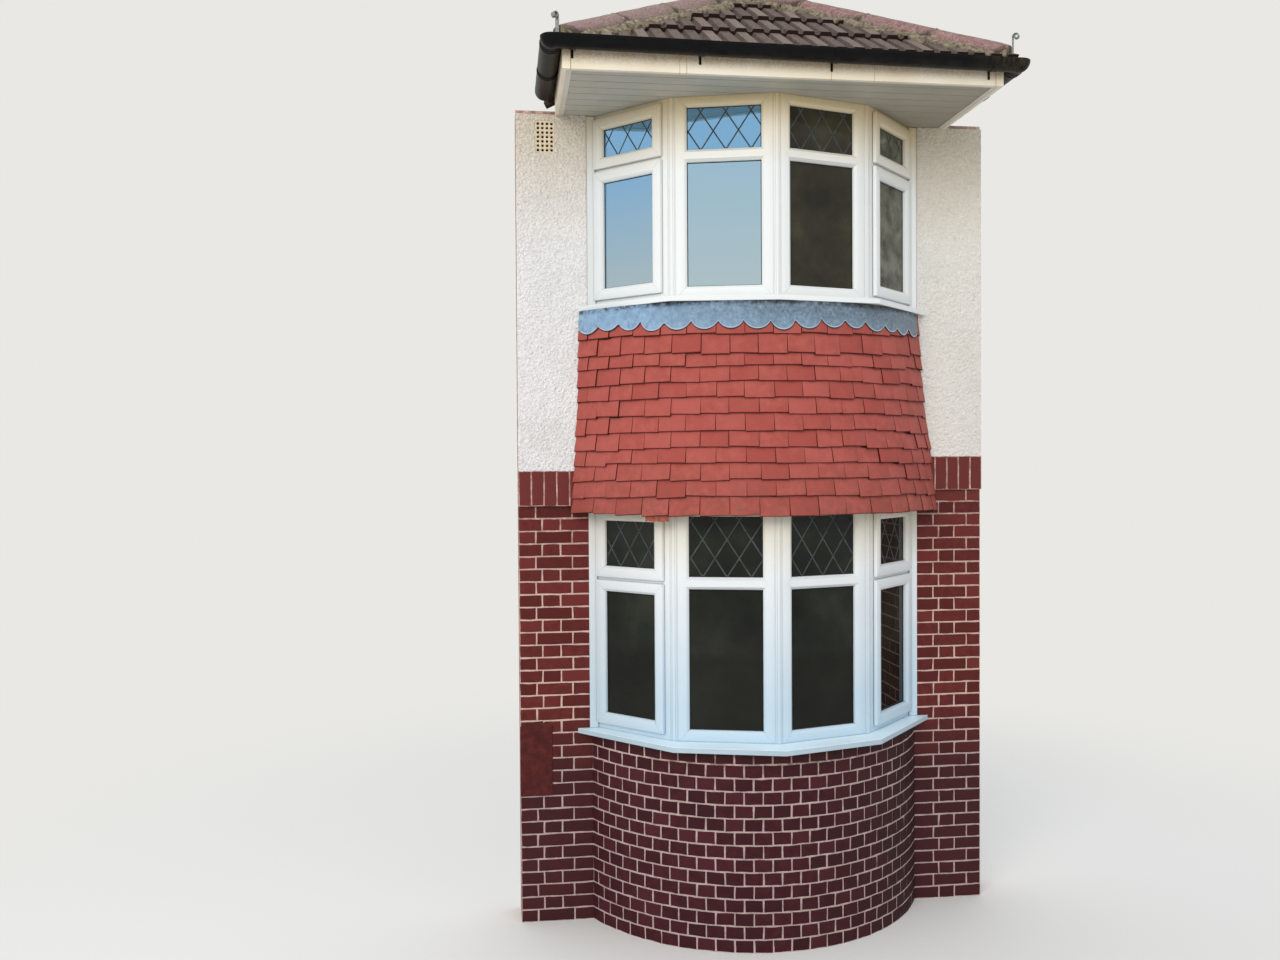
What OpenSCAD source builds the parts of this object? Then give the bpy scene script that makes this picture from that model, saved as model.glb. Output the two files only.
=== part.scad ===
// Two-storey bow bay window of a brick terraced house: curved brick plinth, four-light
// windows on both floors, tile-hung apron with a scalloped lead skirt, boarded eaves and a
// half-pyramid hipped roof, bonded into the strips of front wall on both sides.
// Origin: ground level, on the wall's outer face, at the middle of the bay. -Y is the street.

/* [Front wall] */
// Thickness of the front wall with its inside plaster
wall_t = 230; // [180:5:330]
// Width of the strip of front wall on each side of the bay
strip_w = 430; // [380:10:800]
// Height of one brick course with its bed joint
course_h = 75; // [65:1:80]
// Courses by which the upright band on the right is higher than the left one
right_band_step = 1; // [0:1:1]
// Height of the band of bricks set on end
band_h = 203; // [190:1:215]
// Depth of the bricks in that band
band_depth = 102; // [90:1:105]
// How far the band stands out of the brickwork
band_proud = 22; // [5:1:40]
// Thickness of the roughcast coat
render_t = 15; // [8:1:25]

/* [Bay plan] */
// Length of one window light from joint to joint
light_w = 577; // [500:1:650]
// Angle of the two side lights to the wall
side_angle = 45; // [40:1:50]
// Angle of the two front lights to the wall
front_angle = 15; // [12:1:18]
// How far the end of a side light stands back from the wall face
light_set_in = 42; // [35:1:60]
// Packing between a side light's outer corner and the brick reveal
packing = 13.5; // [8:0.5:25]

/* [Plinth] */
// Courses of brickwork in the plinth
plinth_courses = 15; // [12:1:16]
// How far the plinth stands out past the middle of the windows
plinth_out = 85; // [50:5:130]
// Thickness of the plinth wall
plinth_t = 215; // [200:5:240]

/* [Windows] */
// Height of the ground floor windows
ground_window_h = 1338; // [1200:1:1400]
// Middle of the ground transoms above the window's base
ground_transom_up = 896; // [780:1:950]
// Height of the upper windows
upper_window_h = 1130; // [1050:1:1200]
// Middle of the upper transoms above the window's base
upper_transom_up = 793; // [700:1:830]
// Fixed glass plane behind the frame's outer face
glass_set = 30; // [20:1:36]
// Frame behind the fixed glass plane
frame_in = 35; // [30:1:45]
// Width of the frame from its edge to the fixed glass
frame_face = 64; // [50:1:72]
// Height of a transom between fixed panes
transom_h = 68; // [56:1:80]
// Half of the width of the pole between two lights
pole_half = 16; // [12:1:20]
// How far the sashes stand out of the frame
sash_proud = 24; // [15:1:28]
// Width of a sash from its edge to the glass
sash_face = 64; // [56:1:70]
// Width of frame that shows beside a sash
sash_margin = 36; // [28:1:42]
// Lap of a sash over its frame
sash_lap = 18; // [12:1:22]
// Clearance round the part of a sash that closes into the frame
sash_play = 2; // [1:0.5:4]
// Half of the gap between a fanlight and the casement below it
sash_gap_half = 10; // [4:1:14]
// Thickness of a sealed glass unit
glass_t = 24; // [20:1:28]
// Depth of the groove that holds the glass
glass_grip = 10; // [6:1:14]
// Width of the sloped bead round the glass
bead_w = 14; // [8:1:20]
// Depth of that bead
bead_depth = 12; // [6:1:20]
// Width of the trim on the brickwork beside the ground windows
ground_trim = 16.5; // [10:0.5:30]
// Thickness of that trim
trim_t = 10; // [6:1:14]

/* [Sills] */
// Thickness of a sill board
sill_t = 24; // [18:1:35]
// Drop of the sill's nose below its board
nose_drop = 6; // [3:1:12]
// Thickness of the nose
nose_t = 12; // [8:1:20]
// How far both sills run past the opening at the wall
sill_end = 90; // [60:5:130]
// Ground sill past the window joints at its corners, sideways
ground_sill_corner_side = 43; // [25:1:60]
// Ground sill past the window joints at its corners, forwards
ground_sill_corner_out = 159; // [140:1:190]
// Ground sill past the window joint at the middle
ground_sill_out = 175; // [155:1:205]
// Upper sill past the window joints at its corners, sideways
upper_sill_corner_side = 50; // [38:1:62]
// Upper sill past the window joints at its corners, forwards
upper_sill_corner_out = 122; // [110:1:135]
// Upper sill past the window joint at the middle
upper_sill_out = 83; // [75:1:105]
// Depth of the boards inside the windows
window_board_w = 110; // [80:5:115]

/* [Apron wall] */
// How far the timber wall between the windows runs past the opening at the wall
apron_side = 31; // [15:1:45]
// How far that wall stands out past the middle of the windows
apron_out = 40; // [25:1:55]
// Depth of its studs
stud_depth = 110; // [95:5:115]
// Width of a stud or plate
stud_w = 50; // [38:1:63]
// Depth of its bottom beam
joist_beam_h = 166; // [140:2:190]
// Ledge on that beam that carries the floor joists
joist_ledge = 40; // [25:5:60]
// Thickness of the plaster inside
lining_t = 12.5; // [9.5:0.5:25]
// Height of the wall between the two windows
apron_h = 1140; // [1050:5:1250]

/* [Tile hanging] */
// Courses of hung tiles
tile_courses = 12; // [10:1:12]
// Top of the tiles below the upper sill
tile_under_sill = 103; // [60:1:140]
// Thickness of a plain tile
tile_t = 12; // [10:1:15]
// Drop of the lowest tiles over the window head
tile_drop = 55; // [40:1:80]
// Tile edge of the top course from the timber wall
tile_stand = 20.5; // [18:0.5:26]
// Extra reach of the lowest course
bell_cast = 68; // [40:1:90]
// Curve of the bell cast, 1 is straight
bell_power = 1.5; // [1:0.1:2.5]

/* [Lead skirt] */
// Scallops round the skirt
scallops = 16; // [12:1:20]
// Depth of a scallop
scallop_depth = 47; // [30:1:55]
// Height of the skirt with its scallops
skirt_h = 153; // [135:1:180]
// Thickness of the lead
lead_t = 3; // [2:0.5:4]

/* [Floors] */
// Thickness of the ground floor slab
slab_t = 150; // [100:5:200]
// Thickness of the floor boards
board_t = 22; // [18:1:28]
// Depth of the floor joists
joist_h = 175; // [150:5:200]
// Spacing of joists and rafters
joist_pitch = 400; // [350:10:450]
// Thickness of the ceilings
ceiling_t = 15; // [12:1:20]

/* [Eaves] */
// How far the soffit runs past the opening
soffit_side = 180; // [150:5:220]
// How far the soffit stands out past the middle of the windows
soffit_out = 255; // [225:5:285]
// Thickness of the soffit boards
soffit_t = 8; // [6:1:12]
// Width of one soffit board
soffit_board_w = 100; // [80:5:120]
// Thickness of the fascia boards
fascia_t = 20; // [15:1:25]
// Lip of the fascia below the soffit
fascia_lip = 5; // [2:1:12]
// Radius of the half-round gutter
gutter_r = 56; // [50:1:60]
// Thickness of the gutter
gutter_t = 3; // [2:0.5:4]
// Gap between gutter and fascia
gutter_gap = 4; // [3:1:10]
// Gutter rim below the tile edge at the middle
gutter_drop = 15; // [13:1:25]
// Fall of the front gutter from left to right
gutter_fall = 24; // [0:2:28]

/* [Roof] */
// Overhang of the tiles past the front fascia
front_overhang = 70; // [45:5:90]
// Overhang of the tiles past the side fascias
side_overhang = 50; // [30:5:70]
// Tile edge above the soffit
eaves_up = 135; // [125:1:155]
// Rise of the roof to its top
roof_rise = 730; // [650:2:900]
// Thickness of tiles and battens, measured upright
roof_t = 60; // [45:1:75]
// Thickness of the tiles that overhang the gutter
eaves_tile_t = 20; // [15:1:24]
// Courses of roof tiles
roof_courses = 4; // [3:1:5]
// Step at each course of roof tiles
roof_step = 22; // [12:1:30]
// Depth of the rafters, measured upright
rafter_h = 110; // [80:5:130]
// Radius of the half-round hip tiles
hip_r = 92; // [85:1:110]
// Middle of the hip tiles below the joint of the slopes
hip_sink = 42; // [20:1:55]
// Hip tiles in each hip
hip_count = 4; // [3:1:6]
// Start of the lowest hip tile from the corner of the eaves
hip_start = 65; // [60:5:120]
// Start of the hip irons from the corner of the eaves
iron_in = 25; // [10:1:30]
// Height of the hip irons
iron_h = 106; // [70:1:130]
// Width of their bar
iron_w = 24; // [18:1:35]
// Thickness of their bar
iron_t = 5; // [3:0.5:8]
// Radius of their scroll
iron_r = 20; // [15:1:35]
// Depth of the beam over the opening
beam_h = 150; // [120:5:220]
// Bearing of that beam on the walls
beam_bearing = 130; // [100:5:200]
// Depth of the ceiling joists
ceiling_joist_h = 100; // [75:5:125]

/* [Air brick and patch] */
// Middle of the air brick from the left edge of the wall
vent_in = 170; // [100:5:250]
// Brickwork between the air brick and the soffit
vent_down = 38; // [10:1:120]
// Width of the air brick
vent_w = 114; // [100:1:130]
// Height of the air brick
vent_h = 188; // [160:1:215]
// Holes across the air brick
vent_cols = 4; // [3:1:5]
// Holes up the air brick
vent_rows = 7; // [5:1:8]
// Width of the rendered patch on the left brickwork
patch_w = 190; // [150:5:210]
// Height of that patch
patch_h = 440; // [300:5:460]

/* [Hidden] */
$fn = 96;

// Clearance between pieces that only touch, and overrun of a cut past a face
fit = 0.3;
over = 1;

// Window line in plan: the joints of the four lights on the fixed glass plane
angles = [-side_angle, -front_angle, front_angle, side_angle];
half_line = light_w * (cos(side_angle) + cos(front_angle));
line_reach = light_w * (sin(side_angle) + sin(front_angle)) - light_set_in;
joints = [
    [-half_line, light_set_in],
    [-light_w * cos(front_angle), light_w * sin(front_angle) - line_reach],
    [0, -line_reach],
    [light_w * cos(front_angle), light_w * sin(front_angle) - line_reach],
    [half_line, light_set_in]
];
opening_half = half_line + glass_set * sin(side_angle) + packing;
wall_half_w = opening_half + strip_w;
function outward(i) = [sin(angles[i]), -cos(angles[i])];
function mitre(i) = (outward(i - 1) + outward(i)) / (1 + outward(i - 1) * outward(i));
function line_point(i, t) = joints[i] + t * (i == 0 ? outward(0) : i == 4 ? outward(3) : mitre(i));
function window_line(t) = [for (i = [0:4]) line_point(i, t)];

// Levels
plinth_h = plinth_courses * course_h;
ground_base = plinth_h + sill_t;
ground_head = ground_base + ground_window_h;
upper_sill_z = ground_head + apron_h;
upper_base = upper_sill_z + sill_t;
upper_head = upper_base + upper_window_h;
wall_top = upper_head + ceiling_t;
soffit_z = upper_head - soffit_t;
left_band_z = round(ground_head / course_h) * course_h;
right_band_z = left_band_z + right_band_step * course_h;
joist_z = ground_head + joist_beam_h;
first_floor_z = joist_z + joist_h + board_t;

// Circles in plan: a circle that meets the wall face at a half-width and reaches out from it
function circle_r(half_w, reach) = (half_w * half_w + reach * reach) / (2 * reach);
plinth_reach = line_reach + plinth_out;
plinth_r = circle_r(opening_half, plinth_reach);
plinth_y = plinth_r - plinth_reach;
apron_half_w = opening_half + apron_side;
apron_reach = line_reach + apron_out;
apron_r = circle_r(apron_half_w, apron_reach);
apron_y = apron_r - apron_reach;

// Sills
sill_half_w = opening_half + sill_end;

// Eaves and roof
soffit_half_w = opening_half + soffit_side;
soffit_reach = line_reach + soffit_out;
fascia_z = soffit_z - fascia_lip;
gutter_y = soffit_reach + fascia_t + gutter_gap + gutter_r;
gutter_x = soffit_half_w + fascia_t + gutter_gap + gutter_r;
eaves_z = soffit_z + eaves_up;
gutter_z = eaves_z - gutter_drop;
roof_half_w = soffit_half_w + fascia_t + side_overhang;
roof_reach = soffit_reach + fascia_t + front_overhang;
front_run = roof_reach + wall_t;
front_pitch = roof_rise / front_run;
side_pitch = roof_rise / roof_half_w;
fascia_top = eaves_z - eaves_tile_t + min(front_overhang * front_pitch, side_overhang * side_pitch) - fit;

brick_red = "#5b1f22";
tile_red = "#a64540";
white = "#eceae4";
cream = "#e4dcc6";

module block(x0, x1, y0, y1, z0, z1) {
    translate([x0, y0, z0]) cube([x1 - x0, y1 - y0, z1 - z0]);
}

module both_sides() {
    children();
    mirror([1, 0, 0]) children();
}

module disc(r, y, z0, z1) {
    translate([0, y, z0]) cylinder(r = r, h = z1 - z0, $fn = 180);
}

module ring(r0, r1, y, z0, z1) {
    difference() {
        disc(r1, y, z0, z1);
        disc(r0, y, z0 - over, z1 + over);
    }
}

// Room side of the wall face, between the brick reveals, and everything before the face
module bay_space(z0, z1, face = 0) {
    block(-2 * wall_half_w, 2 * wall_half_w, -2 * soffit_reach, -face, z0, z1);
    block(-opening_half, opening_half, -face - over, wall_t, z0, z1);
}

module slab(points, z0, z1) {
    translate([0, 0, z0]) linear_extrude(z1 - z0) polygon(points);
}

// Area inside the window line, back to the wall's inner face
module window_area(t, z0, z1, half_w = opening_half) {
    line = window_line(t);
    slab(concat([[-half_w, wall_t], [-half_w, line[0][1]]], line,
                [[half_w, line[4][1]], [half_w, wall_t]]), z0, z1);
}

module ground_floor() {
    color("#8d8a84")
    intersection() {
        disc(plinth_r - plinth_t - fit, plinth_y, 0, slab_t);
        bay_space(0, slab_t);
    }
}

module plinth_wall() {
    color(brick_red)
    intersection() {
        ring(plinth_r - plinth_t, plinth_r, plinth_y, 0, plinth_h);
        bay_space(0, plinth_h);
    }
}

// Brickwork beside the bay, with a rebate at its top for the band of upright bricks
module brick_wall(side, band_z) {
    x0 = side > 0 ? opening_half : -wall_half_w;
    x1 = side > 0 ? wall_half_w : -opening_half;
    color(brick_red)
    difference() {
        block(x0, x1, 0, wall_t, 0, band_z + band_h);
        block(x0 - over, x1 + over, -over, band_depth - band_proud, band_z, band_z + band_h + over);
    }
}

module left_brick_wall() { brick_wall(-1, left_band_z); }
module right_brick_wall() { brick_wall(1, right_band_z); }

module brick_bands() {
    y1 = band_depth - band_proud;
    color(brick_red)
    difference() {
        union() {
            block(-wall_half_w, -opening_half, -band_proud, y1, left_band_z, left_band_z + band_h);
            block(opening_half, wall_half_w, -band_proud, y1, right_band_z, right_band_z + band_h);
        }
        disc(apron_r + tile_stand + bell_cast + fit, apron_y, 0, upper_head);
    }
}

module upper_wall(side, band_z) {
    x0 = side > 0 ? opening_half : -wall_half_w;
    x1 = side > 0 ? wall_half_w : -opening_half;
    color(brick_red)
    difference() {
        block(x0, x1, 0, wall_t, band_z + band_h, wall_top);
        if (side < 0) air_brick_hole();
    }
}

module left_upper_wall() { upper_wall(-1, left_band_z); }
module right_upper_wall() { upper_wall(1, right_band_z); }

module render_coats() {
    color(cream)
    difference() {
        union() {
            block(-wall_half_w, -opening_half, -render_t, 0, left_band_z + band_h, soffit_z - fit);
            block(opening_half, wall_half_w, -render_t, 0, right_band_z + band_h, soffit_z - fit);
        }
        disc(apron_r + fit, apron_y, 0, upper_sill_z);
        air_brick_hole();
        both_sides() block(0, opening_half + ground_trim, -render_t - over, over, upper_sill_z, upper_head + over);
        slab(sill_outline(fit, upper_sill_corner_side, upper_sill_corner_out, upper_sill_out),
             upper_sill_z - nose_drop - fit, upper_base + fit);
    }
}

// Air brick high in the left wall
vent_x = -wall_half_w + vent_in;
vent_z = soffit_z - vent_h - vent_down;
vent_hole = 14;
vent_rim = 4;
vent_depth = 65;

module air_brick_hole() {
    block(vent_x - vent_w / 2, vent_x + vent_w / 2, -render_t - over, vent_depth, vent_z, vent_z + vent_h);
}

module air_brick() {
    pitch_x = (vent_w - 2 * vent_rim) / vent_cols;
    pitch_z = (vent_h - 2 * vent_rim) / vent_rows;
    color("#cdb79a")
    difference() {
        block(vent_x - vent_w / 2, vent_x + vent_w / 2, -render_t - 2, vent_depth, vent_z, vent_z + vent_h);
        for (i = [0:vent_cols - 1], j = [0:vent_rows - 1])
            translate([vent_x + (i - (vent_cols - 1) / 2) * pitch_x - vent_hole / 2, -render_t - 2 - over,
                       vent_z + vent_h / 2 + (j - (vent_rows - 1) / 2) * pitch_z - vent_hole / 2])
                cube([vent_hole, vent_depth, vent_hole]);
    }
}

// Painted render patch with a round top on the left brickwork
patch_z = 754;
patch_t = 8;

module render_patch() {
    color("#6d2523")
    translate([-wall_half_w + patch_w / 2, -fit, patch_z]) rotate([90, 0, 0]) linear_extrude(patch_t) {
        translate([-patch_w / 2, 0]) square([patch_w, patch_h - patch_w]);
        intersection() {
            translate([-patch_w / 2, patch_h - patch_w]) square(patch_w);
            translate([0, patch_h - patch_w]) circle(r = patch_w);
        }
    }
}

// Timber wall between the windows: bottom beam, studs and top plate, curved in plan
module stud_wall() {
    studs = 10;
    spread = 104;
    color("#b58a5a")
    intersection() {
        union() {
            ring(apron_r - stud_depth - joist_ledge, apron_r, apron_y, ground_head, joist_z);
            ring(apron_r - stud_depth, apron_r, apron_y, upper_sill_z - stud_w, upper_sill_z);
            for (i = [0:studs])
                translate([0, apron_y, 0]) rotate([0, 0, -spread / 2 + i * spread / studs - 90])
                    translate([apron_r - stud_depth, -stud_w / 2, joist_z])
                        cube([stud_depth - 2, stud_w, upper_sill_z - joist_z]);
        }
        bay_space(ground_head, upper_sill_z);
    }
}

module stud_lining() {
    color("#efe9dc")
    intersection() {
        ring(apron_r - stud_depth - fit - lining_t, apron_r - stud_depth - fit, apron_y,
             first_floor_z, upper_sill_z - fit);
        bay_space(first_floor_z, upper_sill_z);
    }
}

module ground_ceiling() {
    color("#efe9dc")
    intersection() {
        disc(apron_r - stud_depth - joist_ledge - fit, apron_y, joist_z - ceiling_t, joist_z);
        bay_space(joist_z - ceiling_t, joist_z);
    }
}

module floor_joists() {
    count = floor(2 * (opening_half - stud_w) / joist_pitch);
    color("#b58a5a")
    intersection() {
        for (i = [0:count])
            translate([(i - count / 2) * joist_pitch - stud_w / 2, -apron_reach, joist_z])
                cube([stud_w, apron_reach + wall_t, joist_h]);
        disc(apron_r - stud_depth - fit, apron_y, joist_z, joist_z + joist_h);
        bay_space(joist_z, joist_z + joist_h);
    }
}

module first_floor() {
    color("#9a7650")
    intersection() {
        disc(apron_r - stud_depth - fit, apron_y, first_floor_z - board_t, first_floor_z);
        bay_space(first_floor_z - board_t, first_floor_z);
    }
}

// Sill: a board with a turned-down nose, in straight lengths that follow the window; its
// outline lies past the end of the opening and past the joints of the lights
function sill_outline(grow, side, corner_out, out) =
    [[-sill_half_w - grow, 0], joints[1] - [side, corner_out], joints[2] - [0, out],
     joints[3] + [side, -corner_out], [sill_half_w + grow, 0]];

module sill(face, z, side, corner_out, out) {
    color(white)
    difference() {
        union() {
            intersection() {
                slab(sill_outline(0, side, corner_out, out), z - nose_drop, z + sill_t);
                block(-wall_half_w, wall_half_w, -2 * line_reach, -face - fit, z - nose_drop, z + sill_t);
            }
            window_area(0, z, z + sill_t);
        }
        slab(sill_outline(-2 * nose_t, side - nose_t, corner_out - nose_t, out - nose_t), z - nose_drop - over, z);
        window_area(-frame_in, z - nose_drop - over, z + sill_t + over, opening_half + over);
        block(-wall_half_w, wall_half_w, light_set_in + frame_in, wall_t + over, z - nose_drop - over, z + sill_t + over);
    }
}

module ground_sill() {
    sill(0, plinth_h, ground_sill_corner_side, ground_sill_corner_out, ground_sill_out);
}

module upper_sill() {
    sill(render_t, upper_sill_z, upper_sill_corner_side, upper_sill_corner_out, upper_sill_out);
}

module window_boards() {
    color(white)
    for (z = [plinth_h, upper_sill_z])
        difference() {
            window_area(-frame_in - fit, z, z + sill_t + 2, opening_half - fit);
            window_area(-frame_in - window_board_w, z - over, z + sill_t + 2 + over, opening_half + over);
        }
}

// One light of the window line: x runs along it from its left joint, y goes into the room
module light(i, base) {
    translate([joints[i][0], joints[i][1], base]) rotate([0, 0, angles[i]]) children();
}

function light_x0(i) = i == 0 ? 0 : pole_half;
function light_x1(i) = i == 3 ? light_w : light_w - pole_half;

// An opening through a frame, with the groove that holds its glass
module pane_opening(x0, x1, z0, z1, glass_y) {
    block(x0, x1, -2 * glass_set - sash_proud, frame_in + over, z0, z1);
    block(x0 - glass_grip, x1 + glass_grip, glass_y - fit, glass_y + glass_t + fit, z0 - glass_grip, z1 + glass_grip);
}

// Cut for the sloped bead round a pane: it narrows from the outer face inwards, with mitred corners
module bead_cut(x0, x1, z0, z1, face_y) {
    w = bead_w * (bead_depth + over) / bead_depth;
    y0 = face_y - over;
    y1 = face_y + bead_depth;
    intersection() {
        slab([[x0 - w, y0], [x1 + w, y0], [x1, y1], [x0, y1]], z0 - w, z1 + w);
        translate([x0 - w, 0, 0]) rotate([90, 0, 90]) linear_extrude(x1 - x0 + 2 * w)
            polygon([[y0, z0 - w], [y0, z1 + w], [y1, z1], [y1, z0]]);
    }
}

module fixed_frame(i, base, h, transom_up) {
    x0 = light_x0(i);
    x1 = light_x1(i);
    color(white)
    light(i, base)
    difference() {
        block(x0, x1, -glass_set, frame_in, 0, h);
        for (z = [[frame_face, transom_up - transom_h / 2], [transom_up + transom_h / 2, h - frame_face]]) {
            pane_opening(x0 + frame_face, x1 - frame_face, z[0], z[1], 0);
            bead_cut(x0 + frame_face, x1 - frame_face, z[0], z[1], -glass_set);
        }
    }
}

// Frame of a side light, with an opening for each sash
module sash_frame(i, base, h, transom_up) {
    x0 = light_x0(i);
    x1 = light_x1(i);
    edge = sash_margin + sash_lap;
    bar = sash_gap_half + sash_lap;
    color(white)
    light(i, base)
    difference() {
        block(x0, x1, -glass_set, frame_in, 0, h);
        block(x0 + edge, x1 - edge, -glass_set - over, frame_in + over, edge, transom_up - bar);
        block(x0 + edge, x1 - edge, -glass_set - over, frame_in + over, transom_up + bar, h - edge);
    }
}

// A sash: a leaf that laps over the frame and a body that closes into it
module sash(x0, x1, z0, z1) {
    inset = sash_lap + sash_play;
    difference() {
        union() {
            block(x0, x1, -glass_set - sash_proud, -glass_set - fit, z0, z1);
            block(x0 + inset, x1 - inset, -glass_set - fit, frame_in - glass_t / 2, z0 + inset, z1 - inset);
        }
        pane_opening(x0 + sash_face, x1 - sash_face, z0 + sash_face, z1 - sash_face, -sash_proud);
        bead_cut(x0 + sash_face, x1 - sash_face, z0 + sash_face, z1 - sash_face, -glass_set - sash_proud);
    }
}

module sashes(base, h, transom_up) {
    color(white)
    for (i = [0, 3]) light(i, base) {
        x0 = light_x0(i) + sash_margin;
        x1 = light_x1(i) - sash_margin;
        sash(x0, x1, sash_margin, transom_up - sash_gap_half);
        sash(x0, x1, transom_up + sash_gap_half, h - sash_margin);
    }
}

module pane(x0, x1, z0, z1, glass_y) {
    lap = glass_grip - fit;
    block(x0 - lap, x1 + lap, glass_y, glass_y + glass_t, z0 - lap, z1 + lap);
}

module glass(base, h, transom_up) {
    edge = sash_margin + sash_face;
    gap = sash_gap_half + sash_face;
    color([0.5, 0.62, 0.68, 0.4])
    for (i = [0:3]) light(i, base) {
        x0 = light_x0(i);
        x1 = light_x1(i);
        if (i == 0 || i == 3) {
            pane(x0 + edge, x1 - edge, edge, transom_up - gap, -sash_proud);
            pane(x0 + edge, x1 - edge, transom_up + gap, h - edge, -sash_proud);
        } else {
            pane(x0 + frame_face, x1 - frame_face, frame_face, transom_up - transom_h / 2, 0);
            pane(x0 + frame_face, x1 - frame_face, transom_up + transom_h / 2, h - frame_face, 0);
        }
    }
}

// Poles that join neighbouring lights
function on_light(i, x, y) =
    joints[i] + x * [cos(angles[i]), sin(angles[i])] - y * outward(i);

module poles(base, h) {
    color(white)
    for (i = [1:3])
        slab([on_light(i - 1, light_w - pole_half, -glass_set), line_point(i, glass_set),
              on_light(i, pole_half, -glass_set), on_light(i, pole_half, frame_in),
              line_point(i, -frame_in), on_light(i - 1, light_w - pole_half, frame_in)],
             base, base + h);
}

module ground_left_frame() { sash_frame(0, ground_base, ground_window_h, ground_transom_up); }
module ground_front_left_frame() { fixed_frame(1, ground_base, ground_window_h, ground_transom_up); }
module ground_front_right_frame() { fixed_frame(2, ground_base, ground_window_h, ground_transom_up); }
module ground_right_frame() { sash_frame(3, ground_base, ground_window_h, ground_transom_up); }
module upper_left_frame() { sash_frame(0, upper_base, upper_window_h, upper_transom_up); }
module upper_front_left_frame() { fixed_frame(1, upper_base, upper_window_h, upper_transom_up); }
module upper_front_right_frame() { fixed_frame(2, upper_base, upper_window_h, upper_transom_up); }
module upper_right_frame() { sash_frame(3, upper_base, upper_window_h, upper_transom_up); }
module ground_poles() { poles(ground_base, ground_window_h); }
module upper_poles() { poles(upper_base, upper_window_h); }
module ground_sashes() { sashes(ground_base, ground_window_h, ground_transom_up); }
module upper_sashes() { sashes(upper_base, upper_window_h, upper_transom_up); }
module ground_glass() { glass(ground_base, ground_window_h, ground_transom_up); }
module upper_glass() { glass(upper_base, upper_window_h, upper_transom_up); }

// White strips that close the joint between the side lights and the wall
module cover_strip(edge, face, z0, z1) {
    outer = line_point(0, glass_set + fit);
    at_face = [outer[0] + outer[1] + face + trim_t, -face - trim_t];
    both_sides()
        difference() {
            slab([[-edge, -face - fit], [-edge, -face - trim_t], at_face, outer,
                  [-opening_half + fit, outer[1]], [-opening_half + fit, -face - fit]], z0, z1);
            light(0, z0) block(sash_margin - sash_play, light_w, -4 * glass_set, 0, -over, z1 - z0 + over);
        }
}

module cover_strips() {
    color(white) {
        cover_strip(opening_half + ground_trim, 0, ground_base, ground_head);
        cover_strip(opening_half + ground_trim, 0, upper_base, soffit_z - fit);
    }
}

// Hung tiles: lapped courses that kick out to a bell cast at the foot
tile_z = ground_head - tile_drop;
tile_gauge = (apron_h + tile_drop - tile_under_sill) / tile_courses;
function tile_edge(k) = apron_r + tile_stand + bell_cast * pow(max(0, 1 - k / (tile_courses - 1)), bell_power);

module tile_apron() {
    back = apron_r + fit;
    steps = [for (k = [0:tile_courses - 1]) each [
        [tile_edge(k), tile_z + k * tile_gauge],
        [tile_edge(k + 1) - tile_t, tile_z + (k + 1) * tile_gauge]
    ]];
    color(tile_red)
    intersection() {
        translate([0, apron_y, 0]) rotate_extrude($fn = 180)
            polygon(concat([[tile_edge(0) - 2 * tile_t, tile_z]], steps,
                           [[back, tile_z + tile_courses * tile_gauge], [back, ground_head + fit],
                            [tile_edge(0) - 2 * tile_t, ground_head + fit]]));
        block(-wall_half_w, wall_half_w, -2 * apron_reach, -band_proud - fit, tile_z - over, upper_sill_z);
    }
}

// Lead skirt under the upper sill, its lower edge cut to scallops
skirt_top = upper_sill_z - nose_drop - fit;
skirt_z = skirt_top - skirt_h;

module scalloped_skirt() {
    edge_r = tile_edge(tile_courses - 1) + fit;
    foot_r = edge_r - tile_t * ((skirt_z - tile_z) / tile_gauge - tile_courses + 1);
    top_r = edge_r - tile_t;
    half_turn = asin(apron_half_w / foot_r);
    step = 2 * half_turn / scallops;
    half_pitch = foot_r * sin(step / 2);
    scallop_r = (half_pitch * half_pitch + scallop_depth * scallop_depth) / (2 * scallop_depth);
    flat = 0.4;
    color("#6f8fb5")
    difference() {
        intersection() {
            translate([0, apron_y, 0]) rotate_extrude($fn = 180)
                polygon([[foot_r, skirt_z], [foot_r + lead_t, skirt_z], [top_r + lead_t, skirt_top], [top_r, skirt_top]]);
            block(-wall_half_w, wall_half_w, -2 * apron_reach, -render_t - fit, skirt_z - over, skirt_top + over);
        }
        for (i = [0:scallops])
            translate([0, apron_y, skirt_z]) rotate([0, 0, -half_turn + i * step])
                translate([0, -apron_r + bell_cast, 0]) rotate([90, 0, 0]) linear_extrude(2 * bell_cast)
                    difference() {
                        translate([-half_pitch, -over]) square([2 * half_pitch, scallop_depth - flat]);
                        for (end = [-1, 1])
                            translate([end * half_pitch, scallop_r - flat]) circle(r = scallop_r);
                    }
    }
}

module bay_ceiling() {
    color("#efe9dc") window_area(glass_set, upper_head, wall_top, opening_half - fit);
}

beam_half_w = opening_half + beam_bearing;
beam_y0 = 40;
beam_y1 = 160;

module head_beam() {
    color("#b58a5a") block(-beam_half_w, beam_half_w, beam_y0, beam_y1, wall_top, wall_top + beam_h);
}

// Soffit boards, tongued together and running along the front
module soffit() {
    groove = 2;
    color("#b9bab6")
    difference() {
        block(-soffit_half_w, soffit_half_w, -soffit_reach, -render_t - fit, soffit_z, upper_head);
        window_area(glass_set + fit, soffit_z - over, upper_head + over, half_line + 2 * glass_set);
        for (k = [1:floor(soffit_reach / soffit_board_w)])
            block(-soffit_half_w - over, soffit_half_w + over, -k * soffit_board_w - groove, -k * soffit_board_w + groove,
                  soffit_z - over, soffit_z + groove);
    }
}

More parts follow.
